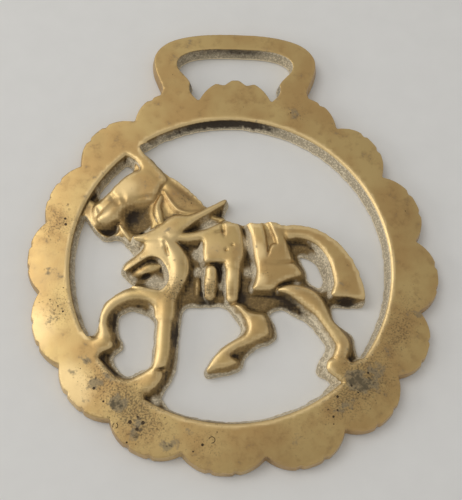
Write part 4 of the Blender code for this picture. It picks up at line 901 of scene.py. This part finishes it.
def aged_brass(middle):
    """The metal with its layers mixed over it, the marks of the pits, fine scratches and the skin's grain."""
    material = bpy.data.materials.new("aged_cast_brass")
    material.use_nodes = True
    tree = material.node_tree
    shader = tree.nodes["Principled BSDF"]
    place = add_node(tree, "ShaderNodeTexCoord").outputs["Object"]
    wear_and_painted_light = {name: add_node(tree, "ShaderNodeAttribute", attribute_name=name).outputs["Fac"]
            for name in ("skin", "pale_skin_and_highlight", "dirt_and_shade", "rubbed_and_highlight", "browned", "stained", "pitted")}
    noise = {name: add_node(tree, "ShaderNodeTexNoise", {
        "Vector": place, "Scale": 1 / size, "Detail": 3.0, "Roughness": 0.6}).outputs["Fac"]
             for name, size in NOISES.items()}
    colour, dull = linear(FACE), 0.0
    for mask, grained, share, start, full, most, dullness, tone in LAYERS:
        amount = add_node(tree, "ShaderNodeMath", {
            0: noise[grained], 1: share, 2: wear_and_painted_light[mask] if mask else 0.0}, operation="MULTIPLY_ADD")
        amount = add_node(tree, "ShaderNodeMapRange", {
            "Value": amount.outputs[0], "From Min": start, "From Max": full, "To Max": most},
                          interpolation_type="SMOOTHSTEP").outputs["Result"]
        colour = add_node(tree, "ShaderNodeMix", {0: amount, 6: colour, 7: linear(tone)},
                          data_type="RGBA").outputs[2]
        amount = add_node(tree, "ShaderNodeMath", {0: amount, 1: dullness}, operation="MULTIPLY").outputs[0]
        dull = add_node(tree, "ShaderNodeMath", {0: amount, 1: dull}, operation="MAXIMUM").outputs[0]

    cells = add_node(tree, "ShaderNodeTexVoronoi", {"Vector": place, "Scale": 1 / PIT_SPACING})
    reach = cells.outputs["Color"]
    for operation, factor in (("POWER", PIT_RARITY), ("MULTIPLY", wear_and_painted_light["pitted"]), ("MULTIPLY", PIT_REACH)):
        reach = add_node(tree, "ShaderNodeMath", {0: reach, 1: factor}, operation=operation).outputs[0]
    pits = add_node(tree, "ShaderNodeMath", {0: reach, 1: cells.outputs["Distance"]},
                    operation="GREATER_THAN").outputs[0]
    for x, y, radius in CRATERS:
        spread = add_node(tree, "ShaderNodeVectorMath", {
            0: place, 1: (x * UNIT - middle[0], y * UNIT - middle[1], THICKNESS)}, operation="DISTANCE")
        line = add_node(tree, "ShaderNodeMath", {
            0: spread.outputs["Value"], 1: radius * UNIT * 0.6, 2: CRATER_LINE}, operation="COMPARE")
        broken = add_node(tree, "ShaderNodeMath", {0: noise["sand"], 1: 0.45}, operation="GREATER_THAN")
        line = add_node(tree, "ShaderNodeMath", {0: line.outputs[0], 1: broken.outputs[0]},
                        operation="MULTIPLY")
        pits = add_node(tree, "ShaderNodeMath", {0: pits, 1: line.outputs[0]}, operation="MAXIMUM").outputs[0]
    colour = add_node(tree, "ShaderNodeMix", {0: pits, 6: colour, 7: linear(PIT)},
                      data_type="RGBA").outputs[2]
    tree.links.new(colour, shader.inputs["Base Color"])

    metal = add_node(tree, "ShaderNodeMapRange", {"Value": dull, "To Min": 1.0, "To Max": 0.15})
    tree.links.new(metal.outputs["Result"], shader.inputs["Metallic"])
    sheen = add_node(tree, "ShaderNodeMapRange", {"Value": dull, "To Min": 0.34, "To Max": 0.75})
    sheen = add_node(tree, "ShaderNodeMath", {0: noise["patch"], 1: 0.16, 2: sheen.outputs["Result"]},
                     operation="MULTIPLY_ADD")
    tree.links.new(sheen.outputs[0], shader.inputs["Roughness"])
    coat = add_node(tree, "ShaderNodeMapRange", {"Value": dull, "To Min": 0.5, "To Max": 0.0})
    tree.links.new(coat.outputs["Result"], shader.inputs["Coat Weight"])
    shader.inputs["Coat Roughness"].default_value = 0.45

    along = add_node(tree, "ShaderNodeMapping", {
        "Vector": place, "Rotation": (0.0, 0.0, SCRATCH_TURN),
        "Scale": (1 / SCRATCH_WIDTH, 1 / SCRATCH_LENGTH, 1.0)})
    scratches = add_node(tree, "ShaderNodeTexNoise", {
        "Vector": along.outputs["Vector"], "Scale": 1.0, "Detail": 2.0})
    height = add_node(tree, "ShaderNodeMath", {0: noise["speck"], 1: dull}, operation="MULTIPLY").outputs[0]
    for mark, share in ((noise["speck"], 0.12), (scratches.outputs["Fac"], 0.1), (pits, -0.8)):
        height = add_node(tree, "ShaderNodeMath", {0: mark, 1: share, 2: height},
                          operation="MULTIPLY_ADD").outputs[0]
    bump = add_node(tree, "ShaderNodeBump", {"Height": height, "Strength": 0.6, "Distance": GRAIN_DEPTH})
    tree.links.new(bump.outputs["Normal"], shader.inputs["Normal"])
    return material


plan = Plan()
vertices, triangles = closed_body(*refined(plan, *front_mesh(plan)))
low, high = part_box("horse_brass")
middle = (vertices[:, :2].min(0) + vertices[:, :2].max(0)) / 2
vertices[:, :2] -= middle
vertices = np.clip(vertices, np.array(low), np.array(high))
mesh = bpy.data.meshes.new("cast_brass")
mesh.from_pydata(vertices.tolist(), [], triangles.tolist())
mesh.shade_smooth()
mesh.set_sharp_from_angle(angle=math.radians(60))
mark_wear_and_painted_light(mesh, middle, plan)
mesh.materials.append(aged_brass(middle))
casting = bpy.data.objects.new("cast_brass", mesh)
bpy.context.collection.objects.link(casting)
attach(casting, "root")
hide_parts("horse_brass")


# Floor
# A plain pale sheet of matt board under the brass, lit by the same lamps. Its two near tones drift into each
# other like the pulp of real board.
FLOOR_TONE = "#EDEBE6"
FLOOR_SHADE = "#E7E5E0"
FLOOR_HALF = 0.6
FLOOR_DROP = -0.0002
PULP_SIZE = 0.004
board = bpy.data.meshes.new("board")
board.from_pydata([(side * FLOOR_HALF, end * FLOOR_HALF, FLOOR_DROP)
                   for side, end in ((-1, -1), (1, -1), (1, 1), (-1, 1))], [], [(0, 1, 2, 3)])
floor = bpy.data.objects.new("board", board)
bpy.context.collection.objects.link(floor)
matt = bpy.data.materials.new("matt_board")
matt.use_nodes = True
matt_shader = matt.node_tree.nodes["Principled BSDF"]
matt_shader.inputs["Roughness"].default_value = 0.9
grain_noise = add_node(matt.node_tree, "ShaderNodeTexNoise", {"Scale": 1 / PULP_SIZE, "Detail": 2.0})
tone = add_node(matt.node_tree, "ShaderNodeMix", {
    0: grain_noise.outputs["Fac"], 6: linear(FLOOR_TONE), 7: linear(FLOOR_SHADE)}, data_type="RGBA")
matt.node_tree.links.new(tone.outputs[2], matt_shader.inputs["Base Color"])
board.materials.append(matt)


# Light
# A soft box high on the upper left gives the bright left rim. A dimmer one stands low on the left, and a pale
# grey room fills the rest.
def soft_box(name, place, size, power):
    """A rectangular lamp that faces the brass."""
    lamp = bpy.data.lights.new(name, "AREA")
    lamp.shape = "RECTANGLE"
    lamp.size, lamp.size_y = size
    lamp.energy = power
    box = bpy.data.objects.new(name, lamp)
    box.location = place
    box.rotation_euler = (-Vector(place)).to_track_quat("-Z", "Y").to_euler()
    bpy.context.collection.objects.link(box)


soft_box("left_soft_box", (-0.32, 0.17, 0.55), (0.34, 0.34), 0.92)
soft_box("low_left_box", (-0.5, -0.05, 0.22), (0.3, 0.2), 0.45)

world = bpy.data.worlds.new("studio")
world.use_nodes = True
world.node_tree.nodes["Background"].inputs["Color"].default_value = linear("#EDEDED")
world.node_tree.nodes["Background"].inputs["Strength"].default_value = 0.55
bpy.context.scene.world = world
bpy.context.scene.view_settings.view_transform = "Standard"


# Camera
# Above the brass and a little towards its foot, close in, as in the photograph.
camera = bpy.data.objects.new("camera", bpy.data.cameras.new("camera"))
camera.data.sensor_width = 36.0
camera.data.lens = 57.6
camera.data.clip_start = 0.01
camera.location = (-0.0042035, -0.0554558, 0.1383608)
camera.rotation_euler = Euler([math.radians(turn) for turn in (20.8116, -2.1106, 1.6185)])
bpy.context.collection.objects.link(camera)
bpy.context.scene.camera = camera
